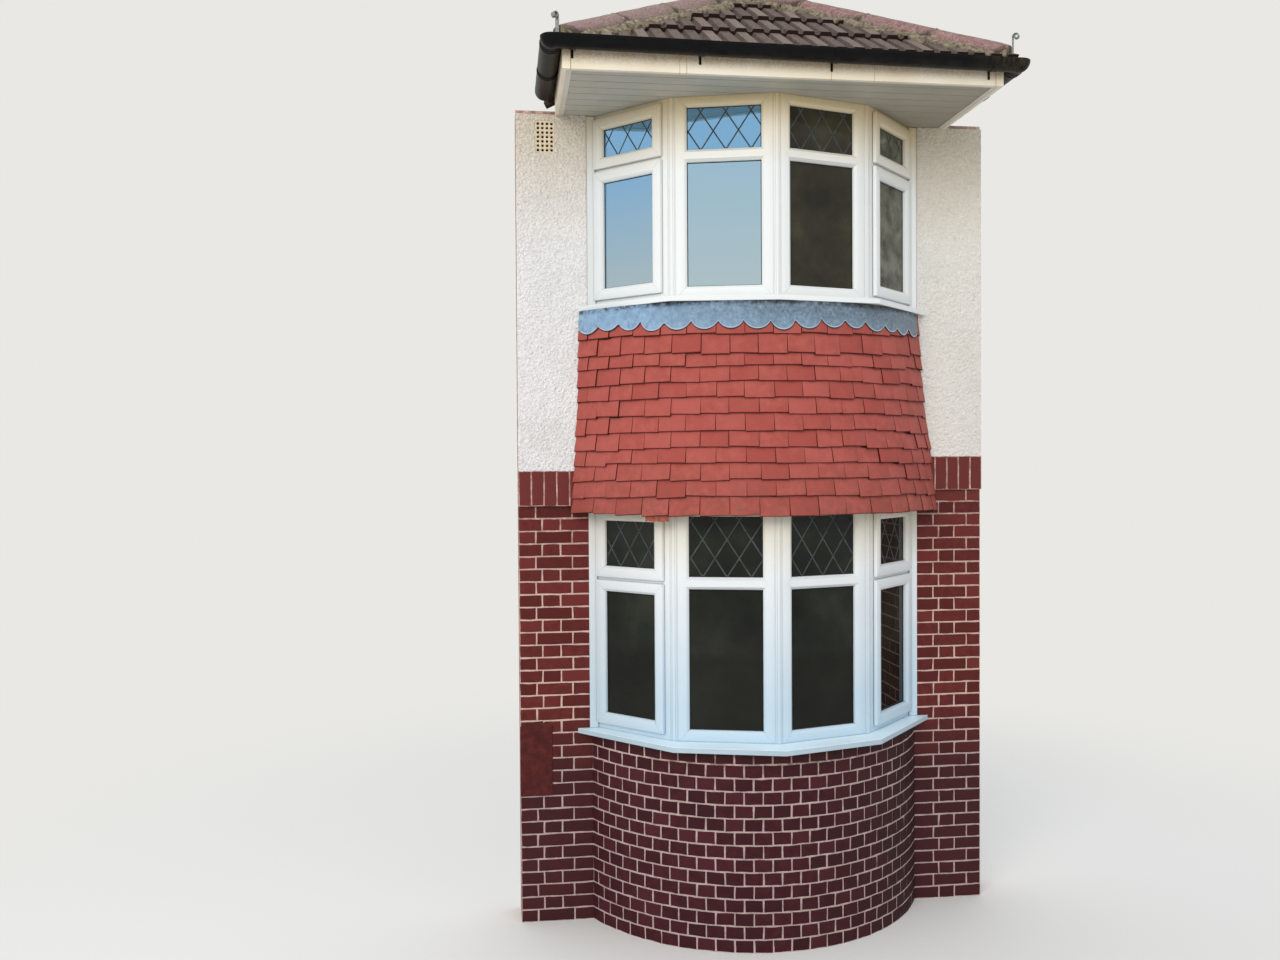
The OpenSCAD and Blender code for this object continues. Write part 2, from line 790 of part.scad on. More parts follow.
module fascias() {
    outer_x = soffit_half_w + fascia_t;
    color(cream) {
        block(-outer_x, outer_x, -soffit_reach - fascia_t, -soffit_reach, fascia_z, fascia_top);
        both_sides()
            block(soffit_half_w, outer_x, -soffit_reach, -render_t - fit, fascia_z, fascia_top);
    }
}

// Half-round gutter round three sides; the front length falls to the right
module gutter_length(length) {
    rotate([90, 0, 90]) linear_extrude(length, center = true)
        difference() {
            circle(r = gutter_r);
            circle(r = gutter_r - gutter_t);
            translate([-2 * gutter_r, 0]) square(4 * gutter_r);
        }
}

module gutter_corner(z) {
    translate([-gutter_x, -gutter_y, z])
        difference() {
            sphere(r = gutter_r + gutter_t, $fn = 64);
            sphere(r = gutter_r - gutter_t, $fn = 64);
            translate([0, 0, 2 * gutter_r]) cube(4 * gutter_r, center = true);
            translate([0, 0, 0]) rotate([0, 90, 0]) cylinder(r = gutter_r - gutter_t, h = 2 * gutter_r);
            translate([0, 0, 0]) rotate([-90, 0, 0]) cylinder(r = gutter_r - gutter_t, h = 2 * gutter_r);
        }
}

module gutter() {
    fall_angle = atan(gutter_fall / (2 * gutter_x));
    corner_lap = gutter_r / 5;
    return_len = gutter_y - render_t - corner_lap - 5;
    color("#202226") {
        translate([0, -gutter_y, gutter_z]) rotate([0, fall_angle, 0]) gutter_length(2 * (gutter_x - corner_lap));
        for (side = [-1, 1])
            translate([side * gutter_x, -gutter_y + corner_lap + return_len / 2, gutter_z - side * gutter_fall / 2])
                rotate([0, 0, 90]) gutter_length(return_len);
        gutter_corner(gutter_z + gutter_fall / 2);
        mirror([1, 0, 0]) gutter_corner(gutter_z - gutter_fall / 2);
    }
}

// Brackets that clip round the front gutter and screw to the fascia
bracket_places = [-0.913, -0.38, 0.186, 0.885];
bracket_w = 26;
bracket_foot_w = 12;

module gutter_brackets() {
    color("#202226")
    for (place = bracket_places) {
        x = place * gutter_x;
        z = gutter_z - gutter_fall * x / (2 * gutter_x);
        translate([x, -gutter_y, z]) {
            rotate([90, 0, 90]) linear_extrude(bracket_w, center = true)
                difference() {
                    circle(r = gutter_r + fit + gutter_t);
                    circle(r = gutter_r + fit);
                    translate([-2 * gutter_r, 0]) square(4 * gutter_r);
                }
            block(-bracket_foot_w / 2, bracket_foot_w / 2, gutter_r + fit, gutter_r + gutter_gap - fit, -1.5 * gutter_r, 0);
        }
    }
}

module front_plan(grow = 0) {
    polygon([[-roof_half_w - grow, -roof_reach - grow], [roof_half_w + grow, -roof_reach - grow], [0, wall_t + grow]]);
}

// Lapped courses: one roof slope in section, run from the eaves up to the top
function slope_section(run, pitch) = concat(
    [for (k = [0:roof_courses - 1]) each [
        [k * run / roof_courses, k * run / roof_courses * pitch],
        [(k + 1) * run / roof_courses, (k + 1) * run / roof_courses * pitch - roof_step]
    ]],
    [[run, run * pitch - roof_t], [0, -roof_t]]);

function layer(run, pitch, top, bottom) =
    [[0, -top], [run, run * pitch - top], [run, run * pitch - bottom], [0, -bottom]];

module front_slope(points) {
    translate([0, -roof_reach, eaves_z]) rotate([90, 0, 90])
        linear_extrude(2 * roof_half_w + 2 * over, center = true) polygon(points);
}

module side_slope(points) {
    translate([roof_half_w, wall_t, eaves_z]) rotate([90, 0, 0])
        linear_extrude(front_run) mirror([1, 0]) polygon(points);
}

// Plan inside the fascias; only the tiles themselves reach out past it
module inside_fascias() {
    inner_x = soffit_half_w - fit;
    block(-inner_x, inner_x, -soffit_reach + fit, wall_t + over, 0, 2 * upper_head);
}

module roof_front() {
    color("#5a4039")
    difference() {
        intersection() {
            front_slope(slope_section(front_run, front_pitch));
            translate([0, 0, eaves_z - 2 * roof_t]) linear_extrude(2 * roof_rise) front_plan();
        }
        difference() {
            front_slope(layer(front_run, front_pitch, eaves_tile_t, 2 * roof_t));
            inside_fascias();
        }
    }
}

module roof_sides() {
    color("#5a4039")
    both_sides()
    difference() {
        intersection() {
            side_slope(slope_section(roof_half_w, side_pitch));
            translate([0, 0, eaves_z - 2 * roof_t]) linear_extrude(2 * roof_rise)
                polygon([[roof_half_w, -roof_reach], [roof_half_w, wall_t], [0, wall_t]]);
        }
        difference() {
            side_slope(layer(roof_half_w, side_pitch, eaves_tile_t, 2 * roof_t));
            inside_fascias();
        }
    }
}

// Rafters of the three slopes: strips cut from one layer under the planes of the roof
module rafter_layer() {
    top = roof_t + fit;
    difference() {
        intersection() {
            translate([0, 0, -top]) under_slopes();
            union() {
                intersection() {
                    for (k = [-2:2])
                        block(k * joist_pitch - stud_w / 2, k * joist_pitch + stud_w / 2, -roof_reach, wall_t, 0, 2 * upper_head);
                    linear_extrude(2 * upper_head) front_plan();
                }
                both_sides() {
                    intersection() {
                        for (y = [-joist_pitch, -stud_w, wall_t - stud_w])
                            block(0, roof_half_w, y, y + stud_w, 0, 2 * upper_head);
                        linear_extrude(2 * upper_head)
                            polygon([[roof_half_w, -roof_reach], [roof_half_w, wall_t], [0, wall_t]]);
                    }
                    hip_strip();
                }
            }
        }
        translate([0, 0, -top - rafter_h]) under_slopes();
    }
}

module hip_strip() {
    along = atan2(front_run, roof_half_w);
    translate([roof_half_w, -roof_reach, 0]) rotate([0, 0, 180 - along])
        block(0, 2 * roof_half_w, -stud_w / 2, stud_w / 2, 0, 2 * upper_head);
}

// Rafters, ceiling joists, the plate over the windows and the posts behind the fascias
module roof_frame() {
    inner_x = soffit_half_w - fit;
    inner_y = soffit_reach - fit;
    color("#b58a5a") {
        difference() {
            intersection() {
                rafter_layer();
                block(-inner_x, inner_x, -inner_y, wall_t, wall_top, 2 * upper_head);
            }
            block(-beam_half_w - fit, beam_half_w + fit, beam_y0 - fit, beam_y1 + fit, 0, wall_top + beam_h + fit);
        }
        difference() {
            window_area(glass_set, wall_top, wall_top + 1.5 * stud_w);
            window_area(-frame_in, wall_top - over, wall_top + 2 * stud_w, opening_half + over);
            block(-wall_half_w, wall_half_w, beam_y0 - fit, wall_t + over, wall_top - over, wall_top + 2 * stud_w);
        }
        for (k = [-2:2])
            block(k * joist_pitch - stud_w / 2, k * joist_pitch + stud_w / 2, -inner_y, beam_y0 - fit,
                  wall_top, wall_top + ceiling_joist_h);
        intersection() {
            for (k = [-2:2])
                block(k * joist_pitch - stud_w / 2, k * joist_pitch + stud_w / 2, -inner_y, -inner_y + stud_w,
                      wall_top, 2 * upper_head);
            front_slope(layer(front_run, front_pitch, roof_t + rafter_h / 2, 4 * joist_pitch));
        }
        difference() {
            for (k = [-2:2])
                block(k * joist_pitch - stud_w / 2, k * joist_pitch + stud_w / 2, -inner_y, -render_t - fit,
                      upper_head, wall_top);
            window_area(glass_set + fit, upper_head - over, wall_top + over, opening_half + over);
        }
    }
}

// Half-round hip tiles bedded on the joint of two slopes
module hip() {
    dx = roof_half_w;
    dy = front_run;
    flat_run = sqrt(dx * dx + dy * dy);
    length = sqrt(flat_run * flat_run + roof_rise * roof_rise);
    tile_len = (length - hip_start) / hip_count;
    translate([-roof_half_w, -roof_reach, eaves_z])
        rotate([0, 0, atan2(dy, dx)]) rotate([0, 90 - atan2(roof_rise, flat_run), 0])
            for (k = [0:hip_count - 1])
                translate([hip_sink, 0, hip_start + k * tile_len])
                    cylinder(r = hip_r - 6 * (k % 2), h = tile_len + (k < hip_count - 1 ? 0 : hip_r));
}

module hip_tiles() {
    color("#9c6a62")
    both_sides()
    difference() {
        intersection() {
            hip();
            block(-roof_half_w, -fit / 2, -roof_reach, wall_t - fit, eaves_z, 2 * upper_head);
        }
        under_slopes();
    }
}

// Everything below the planes of the roof
module under_slopes() {
    intersection() {
        front_slope([[0, 0], [front_run, roof_rise], [front_run, -roof_rise], [0, -roof_rise]]);
        both_sides()
            side_slope([[0, 0], [roof_half_w, roof_rise], [roof_half_w, -roof_rise], [0, -roof_rise]]);
    }
}

// Scrolled irons at the feet of the hips
module hip_irons() {
    color("#9a9c9c")
    both_sides()
    difference() {
        translate([-roof_half_w, -roof_reach, eaves_z]) rotate([0, 0, atan2(front_run, roof_half_w)])
            translate([iron_in + iron_t, iron_w / 2, 0]) rotate([90, 0, 0]) linear_extrude(iron_w) {
                translate([-iron_t, 0]) square([iron_t, iron_h]);
                translate([-iron_r, iron_h]) difference() {
                    circle(r = iron_r);
                    circle(r = iron_r - iron_t);
                    translate([-2 * iron_r, -4 * iron_r]) square(4 * iron_r);
                }
            }
        translate([0, 0, fit]) under_slopes();
    }
}

ground_floor();
plinth_wall();
left_brick_wall();
right_brick_wall();
brick_bands();
left_upper_wall();
right_upper_wall();
render_coats();
air_brick();
render_patch();
stud_wall();
stud_lining();
ground_ceiling();
floor_joists();
first_floor();
ground_sill();
upper_sill();
window_boards();
cover_strips();
ground_left_frame();
ground_front_left_frame();
ground_front_right_frame();
ground_right_frame();
upper_left_frame();
upper_front_left_frame();
upper_front_right_frame();
upper_right_frame();
ground_poles();
upper_poles();
ground_sashes();
upper_sashes();
ground_glass();
upper_glass();
tile_apron();
scalloped_skirt();
bay_ceiling();
head_beam();
soffit();
fascias();
gutter();
gutter_brackets();
roof_frame();
roof_front();
roof_sides();
hip_tiles();
hip_irons();
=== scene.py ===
import bmesh
import bpy
import numpy as np
from mathutils import Matrix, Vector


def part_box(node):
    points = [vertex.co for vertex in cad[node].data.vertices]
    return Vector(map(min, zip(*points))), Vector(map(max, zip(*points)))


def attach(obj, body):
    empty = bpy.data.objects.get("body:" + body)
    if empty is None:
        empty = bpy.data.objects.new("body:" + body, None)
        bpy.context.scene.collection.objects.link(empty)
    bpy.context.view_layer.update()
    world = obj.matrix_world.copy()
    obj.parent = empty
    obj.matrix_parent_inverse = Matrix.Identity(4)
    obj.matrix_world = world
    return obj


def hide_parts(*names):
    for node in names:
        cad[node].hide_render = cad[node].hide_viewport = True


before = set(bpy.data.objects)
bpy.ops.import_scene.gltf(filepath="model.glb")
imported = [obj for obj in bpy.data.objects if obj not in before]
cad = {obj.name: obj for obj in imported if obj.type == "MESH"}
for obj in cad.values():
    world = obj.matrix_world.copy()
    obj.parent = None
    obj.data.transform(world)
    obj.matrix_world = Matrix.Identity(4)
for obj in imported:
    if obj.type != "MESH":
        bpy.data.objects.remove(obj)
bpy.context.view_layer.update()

# Camera, where the photographer stood: 6.4 m before the wall, left of the bay, 2.74 m above the
# ground. Yaw, pitch and roll are in degrees, and the lens gives 1085 pixels on a picture 1280 wide.
eye = np.array([-1.5477, -6.4333, 2.738])
yaw, pitch, roll = np.radians([7.449, -1.014, -0.343])
ahead = np.array([np.sin(yaw) * np.cos(pitch), np.cos(yaw) * np.cos(pitch), np.sin(pitch)])
level = np.array([np.cos(yaw), -np.sin(yaw), 0.0])
upright = np.cross(level, ahead)
right = level * np.cos(roll) + upright * np.sin(roll)
top = upright * np.cos(roll) - level * np.sin(roll)
sensor_width = 36
focal_length, picture_width = 1085.175, 1280


def linked(name, data):
    """A new object with this data, linked into the scene."""
    made = bpy.data.objects.new(name, data)
    bpy.context.collection.objects.link(made)
    return made


def turn_to(thing, across, up, back, place):
    """Turns a camera or a lamp to three axes of length 1 and puts it in its place."""
    thing.matrix_world = Matrix([*np.column_stack([across, up, back, place]).tolist(), [0, 0, 0, 1]])


camera_data = bpy.data.cameras.new("camera")
camera_data.sensor_width = sensor_width
camera_data.lens = focal_length * sensor_width / picture_width
camera = linked("camera", camera_data)
turn_to(camera, right, top, -ahead, eye)
bpy.context.scene.camera = camera
bpy.context.scene.view_settings.view_transform = "Standard"

# Light: an even sky, a little brighter overhead, and one large soft lamp from the upper left.
# The camera and mirror-like surfaces see a plain pale background instead of the sky.
world = bpy.data.worlds.new("studio")
bpy.context.scene.world = world
world.use_nodes = True


def colour(code):
    """Linear colour from an sRGB hex code: each channel by the sRGB curve."""
    value = np.array([int(code[i:i + 2], 16) for i in (1, 3, 5)]) / 255
    linear = np.where(value <= 0.04045, value / 12.92, ((value + 0.055) / 1.055) ** 2.4)
    return (*linear.tolist(), 1.0)


def add(tree, kind, sockets, **settings):
    """Adds a node with its settings; a socket gets a number, a colour or another node's output."""
    made = tree.nodes.new("ShaderNode" + kind)
    for name, value in settings.items():
        setattr(made, name, value)
    for name, value in sockets.items():
        if isinstance(value, bpy.types.NodeSocket):
            tree.links.new(value, made.inputs[name])
        else:
            made.inputs[name].default_value = value
    return made


def unit(vector):
    """The vector at length 1."""
    return vector / np.linalg.norm(vector)


tree = world.node_tree
tree.nodes.clear()
direction = add(tree, "TexCoord", {}).outputs["Generated"]
height = add(tree, "SeparateXYZ", {"Vector": direction}).outputs["Z"]
sky = add(tree, "ValToRGB", {"Fac": height})
sky.color_ramp.elements[0].color = (0.70, 0.71, 0.72, 1)
sky.color_ramp.elements[1].color = (0.95, 0.99, 1.05, 1)
background = colour("#e9e8e4")
light = add(tree, "Background", {"Color": sky.outputs["Color"], "Strength": 1.0}).outputs[0]
pale = add(tree, "Background", {"Color": background, "Strength": 1.0}).outputs[0]
rays = add(tree, "LightPath", {}).outputs
seen = add(tree, "Math", {0: rays["Is Camera Ray"], 1: rays["Is Glossy Ray"]}, operation="MAXIMUM").outputs[0]
seen = add(tree, "Math", {0: seen, 1: rays["Is Transmission Ray"]}, operation="MAXIMUM").outputs[0]
both = add(tree, "MixShader", {0: seen, 1: light, 2: pale}).outputs[0]
add(tree, "OutputWorld", {"Surface": both})

lamp_data = bpy.data.lights.new("soft_lamp", "AREA")
lamp_data.shape = "DISK"
lamp_data.size = 7
lamp_data.energy = 640
lamp_data.color = colour("#fffaf3")[:3]
lamp = linked("soft_lamp", lamp_data)
lamp.visible_glossy = False
lamp_from = np.array([-5.5, -9.5, 8.0])
lamp_aim = np.array([0.0, 0.0, 2.5])
lamp_axis = unit(lamp_from - lamp_aim)
lamp_side = unit(np.cross([0.0, 0.0, 1.0], lamp_axis))
turn_to(lamp, lamp_side, np.cross(lamp_axis, lamp_side), lamp_axis, lamp_from)

# Floor: a plain pale sheet, level with the ground, that takes the shadow. Away from the bay the
# camera sees it in the background's own colour, so that no horizon shows.
floor_half = 60
floor_corners = [(x * floor_half, y * floor_half, 0) for x, y in ((-1, -1), (1, -1), (1, 1), (-1, 1))]
floor_mesh = bpy.data.meshes.new("floor")
floor_mesh.from_pydata(floor_corners, [], [(0, 1, 2, 3)])
floor = linked("floor", floor_mesh)
floor_material = bpy.data.materials.new("pale_floor")
floor_material.use_nodes = True
tree = floor_material.node_tree
direct = add(tree, "LightPath", {}).outputs["Is Camera Ray"]
tone = add(tree, "MixRGB", {"Fac": direct, "Color1": colour("#cfcdc9"), "Color2": colour("#e4e3df")})
lit = tree.nodes["Principled BSDF"]
lit.inputs["Roughness"].default_value = 0.9
tree.links.new(tone.outputs[0], lit.inputs["Base Color"])
place = add(tree, "TexCoord", {}).outputs["Object"]
away = add(tree, "VectorMath", {0: place}, operation="LENGTH").outputs["Value"]
away = add(tree, "MapRange", {"Value": away, "From Min": 2.5, "From Max": 7.0},
           interpolation_type="SMOOTHSTEP").outputs[0]
away = add(tree, "Math", {0: away, 1: direct}, operation="MULTIPLY").outputs[0]
glow = add(tree, "Emission", {"Color": background, "Strength": 1.0}).outputs[0]
blend = add(tree, "MixShader", {0: away, 1: lit.outputs[0], 2: glow}).outputs[0]
tree.links.new(blend, tree.nodes["Material Output"].inputs["Surface"])
floor_mesh.materials.append(floor_material)

# Ground floor: a concrete slab, cast inside the plinth. It is steel-trowelled, so dull grey and
# close, with a fine even grain.
concrete_tones = ["#77746e", "#8d8a84", "#9c9891"]


def finish(name, tones, size, roughness, grain, depth, **sockets):
    """A finish whose colour wanders through the tones in cloudy noise of this size in metres.

    Finer noise, of the grain's size, raises the surface by up to the depth.
    """
    made = bpy.data.materials.new(name)
    made.use_nodes = True
    tree = made.node_tree
    shader = tree.nodes["Principled BSDF"]
    place = add(tree, "TexCoord", {}, name="place").outputs["Object"]
    add(tree, "SeparateXYZ", {"Vector": place}, name="spot")
    cloud = add(tree, "TexNoise", {"Vector": place, "Scale": 1 / size, "Detail": 6.0, "Roughness": 0.62})
    mixed = add(tree, "ValToRGB", {"Fac": cloud.outputs["Fac"]})
    ramp = mixed.color_ramp
    while len(ramp.elements) < len(tones):
        ramp.elements.new(0.5)
    for number, tone in enumerate(tones):
        ramp.elements[number].position = 0.34 + 0.32 * number / (len(tones) - 1)
        ramp.elements[number].color = colour(tone)
    tree.links.new(mixed.outputs["Color"], shader.inputs["Base Color"])
    shader.inputs["Roughness"].default_value = roughness
    for socket, value in sockets.items():
        shader.inputs[socket.replace("_", " ")].default_value = value
    fine = add(tree, "TexNoise", {"Vector": place, "Scale": 1 / grain, "Detail": 4.0})
    bump = add(tree, "Bump", {"Height": fine.outputs["Fac"], "Distance": depth})
    tree.links.new(bump.outputs["Normal"], shader.inputs["Normal"])
    return made


def paint(made, *names):
    """Gives CAD nodes a finish."""
    for name in names:
        cad[name].data.materials.clear()
        cad[name].data.materials.append(made)


concrete = finish("trowelled_concrete", concrete_tones, 0.12, 0.85, 0.003, 0.0006)
paint(concrete, "ground_floor")

# Brickwork: 65 mm bricks on 10 mm joints under old red masonry paint, with the joints lined out in
# cream paint by hand. The CAD walls show as the joints; each brick is a block set into them. Where
# the part is cut off, the raw bricks show, and the room side is plastered.
course, brick_pitch = 0.075, 0.225
joint = 0.0095
wall_half = 1.43
ends_from, tops_from = 1.4294, 4.7955


def fade(made, along, start, end, amount=1.0, size=0, stretch=1.0):
    """A mask that grows from 0 at the start to the amount at the end, along X, Y or Z, or by the
    mesh's own value for each point, its shade.

    Noise of this size breaks it up, where there is one; a stretch above 1 draws the noise out into
    upright streaks.
    """
    tree = made.node_tree
    if along == "shade":
        value = add(tree, "Attribute", {}, attribute_name="shade").outputs["Fac"]
    else:
        value = tree.nodes["spot"].outputs[along]
    mask = add(tree, "MapRange", {"Value": value, "From Min": start, "From Max": end, "To Max": amount})
    if size == 0:
        return mask.outputs[0]
    place = tree.nodes["place"].outputs["Object"]
    drawn = add(tree, "Mapping", {"Vector": place, "Scale": (1 / size, 1 / size, 1 / (size * stretch))})
    noise = add(tree, "TexNoise", {"Vector": drawn.outputs[0], "Scale": 1.0, "Detail": 5.0, "Roughness": 0.6})
    broken = add(tree, "MapRange", {"Value": noise.outputs["Fac"], "From Min": 0.36, "From Max": 0.62})
    return add(tree, "Math", {0: mask.outputs[0], 1: broken.outputs[0]}, operation="MULTIPLY").outputs[0]


def facing(made, axis, least):
    """A mask of the faces whose normal has more than this along an axis: Y is into the room."""
    normal = add(made.node_tree, "NewGeometry", {}).outputs["True Normal"]
    part = add(made.node_tree, "SeparateXYZ", {"Vector": normal}).outputs[axis]
    return add(made.node_tree, "Math", {0: part, 1: least}, operation="GREATER_THAN").outputs[0]


def stain(made, code, mask, *others):
    """Lays a colour, a hex code or a node's output, over a finish as far as all its masks say."""
    tree = made.node_tree
    for other in others:
        mask = add(tree, "Math", {0: mask, 1: other}, operation="MULTIPLY").outputs[0]
    base = tree.nodes["Principled BSDF"].inputs["Base Color"]
    over = colour(code) if isinstance(code, str) else code
    mixed = add(tree, "MixRGB", {"Fac": mask, "Color1": base.links[0].from_socket, "Color2": over})
    tree.links.new(mixed.outputs[0], base)


def weather(made, *fades):
    """Stains a finish with fades in turn; each entry is a hex code and the values of its fade."""
    for code, *values in fades:
        stain(made, code, fade(made, *values))


joint_cream = finish("painted_joint", ["#d6afa3", "#e9c9bd", "#f2dcd2"], 0.03, 0.8, 0.002, 0.0006)
weather(joint_cream,
        ("#935c50", "Z", 1.9, 2.47, 0.85, 0.05),
        ("#b9a9ab", "Z", 1.2, 0.9, 0.65),
        ("#6b4a42", "Z", 0.0, 0.1, 0.45, 0.03))
# Painted shadow under the ground sill: the joints along the top of the plinth front are darkened.
sill_shadow_mask = fade(joint_cream, "Z", 0.94, 1.1, 1.0, 0.06)
stain(joint_cream, "#46302b", sill_shadow_mask, fade(joint_cream, "Y", -0.3, -0.42, 0.9))
tree = joint_cream.node_tree
spot = tree.nodes["spot"].outputs
sideways = add(tree, "Math", {0: spot["X"]}, operation="ABSOLUTE").outputs[0]
wall_end = add(tree, "Math", {0: sideways, 1: ends_from}, operation="GREATER_THAN").outputs[0]
wall_top = add(tree, "Math", {0: spot["Z"], 1: tops_from}, operation="GREATER_THAN").outputs[0]
for mask, along, across in [(wall_end, "Y", "Z"), (wall_top, "X", "Y")]:
    section = add(tree, "CombineXYZ", {"X": spot[along], "Y": spot[across]}).outputs[0]
    raw = add(tree, "TexBrick", {"Vector": section, "Color1": colour("#8a4b38"), "Color2": colour("#9b5a44"),
                                 "Mortar": colour("#b8ad9c"), "Scale": 1.0, "Mortar Size": 0.005,
                                 "Brick Width": brick_pitch, "Row Height": course}).outputs["Color"]
    stain(joint_cream, raw, mask)
room_side = add(tree, "Math", {0: facing(joint_cream, "Y", 0.1), 1: fade(joint_cream, "Y", 0.09, 0.1)},
                operation="MAXIMUM").outputs[0]
raw_side = add(tree, "Math", {0: wall_end, 1: wall_top}, operation="MAXIMUM").outputs[0]
indoors = add(tree, "Math", {0: room_side, 1: raw_side}, operation="SUBTRACT", use_clamp=True).outputs[0]
stain(joint_cream, "#e8e4d8", indoors)
paint(joint_cream, "plinth_wall", "left_brick_wall", "right_brick_wall", "brick_bands",
      "left_upper_wall", "right_upper_wall")


def masonry_paint(name, tones, dark, light):
    """Old matt masonry paint on brick: cloudy tones, darker and lighter bricks, a fine sandy grain."""
    made = finish(name, tones, 0.045, 0.66, 0.0025, 0.0009, Specular_IOR_Level=0.22)
    weather(made, (dark, "shade", 0.55, 1.0), (light, "shade", 0.3, 0.0))
    return made


strip_paint = masonry_paint("red_masonry_paint", ["#59211f", "#632725", "#6b2c29"], "#551f1d", "#6f2d2a")
# Painted light and shade on the strips: darker towards the bottom as painted shade, darker on the top course
# under the soldier band as dirt and painted shadow, and the soldier band lighter as painted light.
weather(strip_paint,
        ("#3a1b1f", "Z", 1.25, 0.85, 0.8),
        ("#3a1c18", "Z", 2.36, 2.46, 0.5, 0.03),
        ("#6e312e", "Z", 2.474, 2.476, 0.85))
plinth_paint = masonry_paint("plum_masonry_paint", ["#3b141a", "#42181f", "#491e24"], "#38151a", "#4c1f25")
# The plinth is darker towards its right side as painted shade, and darker along its top under the sill as
# painted shadow.
weather(plinth_paint,
        ("#2c1214", "X", 0.1, 0.8, 0.7),
        ("#2a1413", "Z", 0.98, 1.12, 0.6, 0.04))
brick_rings = np.array([[0.0, -0.006], [0.0, 0.0012], [0.0008, 0.0026], [0.003, 0.0032], [0.016, 0.0034]])


def tubes(points):
    """Closed skins from an array (tubes, rings, around, 3): each ring is joined to the next one,
    point to point, and the first and last are closed by flat caps."""
    index = np.arange(points.size // 3).reshape(points.shape[:3])
    following = np.roll(index, -1, 2)
    walls = np.stack([index[:, :-1], following[:, :-1], following[:, 1:], index[:, 1:]], -1).reshape(-1, 4)
    caps = np.stack([index[:, 0, ::-1], index[:, -1]], 1).reshape(-1, points.shape[2])
    return points.reshape(-1, 3), [walls, caps]


def tie(piece, node):
    """Ties a piece to the body, and hides the CAD node it stands for, where one is named."""
    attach(piece, "root")
    if node:
        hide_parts(node)


def put(name, parts, made, node=None, smooth=35, shade=None):
    """A mesh object at the origin from parts, each an array of points and a list of face arrays.

    Edges sharper than the smooth angle stay sharp; shade is one value for each point.
    """
    starts = np.cumsum([0] + [len(points) for points, _ in parts])
    points = np.concatenate([points for points, _ in parts]).astype(np.float32)
    faces = [face + start for (_, own), start in zip(parts, starts) for face in own]
    corners = np.concatenate([face.ravel() for face in faces]).astype(np.int32)
    counts = np.concatenate([np.full(len(face), face.shape[1]) for face in faces])
    mesh = bpy.data.meshes.new(name)
    mesh.vertices.add(len(points))
    mesh.vertices.foreach_set("co", points.ravel())
    mesh.loops.add(len(corners))
    mesh.loops.foreach_set("vertex_index", corners)
    mesh.polygons.add(len(counts))
    mesh.polygons.foreach_set("loop_start", (np.cumsum(counts) - counts).astype(np.int32))
    mesh.update(calc_edges=True)
    work = bmesh.new()
    work.from_mesh(mesh)
    bmesh.ops.recalc_face_normals(work, faces=work.faces)
    work.to_mesh(mesh)
    work.free()
    mesh.shade_smooth()
    mesh.set_sharp_from_angle(angle=np.radians(smooth))
    if shade is not None:
        values = mesh.attributes.new("shade", "FLOAT", "POINT").data
        values.foreach_set("value", shade.astype(np.float32).ravel())
    mesh.materials.append(made)
    piece = linked(name, mesh)
    tie(piece, node)
    return piece


def lay_bricks(name, centre, along, out, width, height, made, seed, parts=(6, 3)):
    """Upright blocks with their length along the wall, standing out of it, each with its own shade.

    A block is a stack of rings round one rectangle, each inset and set out by a ring's two numbers.
    The outline wanders in and out, and each block is tilted a little. The parts are the steps on a
    block's lower edge and on its side.
    """
    random = np.random.default_rng(seed)
    count = len(centre)
    centre, along, out = (np.broadcast_to(row, (count, 3))[:, None, None, :] for row in (centre, along, out))
    half_width, half_height = (np.broadcast_to(size, count)[:, None, None] / 2 for size in (width, height))
    across = np.linspace(-1, 1, parts[0], endpoint=False)
    rise = np.linspace(-1, 1, parts[1], endpoint=False)
    corner_x = np.concatenate([across, np.ones(parts[1]), -across, -np.ones(parts[1])])
    corner_z = np.concatenate([-np.ones(parts[0]), rise, np.ones(parts[0]), -rise])
    wander = random.normal(0, 0.0009, (count, len(corner_x)))
    wander = (wander + 0.6 * np.roll(wander, 1, 1) + 0.6 * np.roll(wander, -1, 1)) / 1.3
    inset = brick_rings[:, 0][None, :, None] + wander[:, None, :]
    x = corner_x * (half_width - inset)
    z = corner_z * (half_height - inset)
    tilt = random.normal(0, 0.008, (count, 2))
    lift = brick_rings[:, 1][None, :, None] + random.normal(0, 0.0004, (count, 1, 1))
    lift = lift + tilt[:, 0, None, None] * x + tilt[:, 1, None, None] * z + random.normal(0, 0.0002, x.shape)
    points = centre + x[..., None] * along + z[..., None] * [0, 0, 1] + lift[..., None] * out
    shade = np.repeat(np.random.default_rng(seed + 1).random(count), points[0].size // 3)
    put(name, [tubes(points)], made, shade=shade)


rightward, streetward = (1, 0, 0), (0, -1, 0)
strip_inside = 1.0
for side, courses, ends, odd, even in [
        ("left", 33, (-1.4265, -strip_inside), (-1.33, -1.115), (-1.293, -1.185)),
        ("right", 34, (strip_inside, 1.4265), (1.16, 1.26), (1.1245, 1.34))]:
    middles, widths = [], []
    for number in range(courses):
        line = [ends[0] - joint / 2, *(odd if number % 2 == 0 else even), ends[1] + joint / 2]
        middles += [((a + b) / 2, 0, (number + 0.5) * course) for a, b in zip(line, line[1:])]
        widths += [b - a - joint for a, b in zip(line, line[1:])]
    lay_bricks(side + "_strip_bricks", middles, rightward, streetward, widths, course - joint, strip_paint,
               11)

# Soldier bands: one course of bricks stood on end over each strip, 22 mm proud of it, painted with
# it. The left band lies on the 33rd course and the right one on the 34th.
band_proud, soldier_height = 0.022, 0.198
band_middle = soldier_height / 2 + 0.0025
middles = [(x, -band_proud, 33 * course + band_middle) for x in (np.arange(5) + 0.5) * course - wall_half]
middles += [(x, -band_proud, 34 * course + band_middle) for x in wall_half - (np.arange(5) + 0.5) * course]
lay_bricks("soldier_bricks", middles, rightward, streetward, course - joint, soldier_height, strip_paint, 17,
           (3, 6))

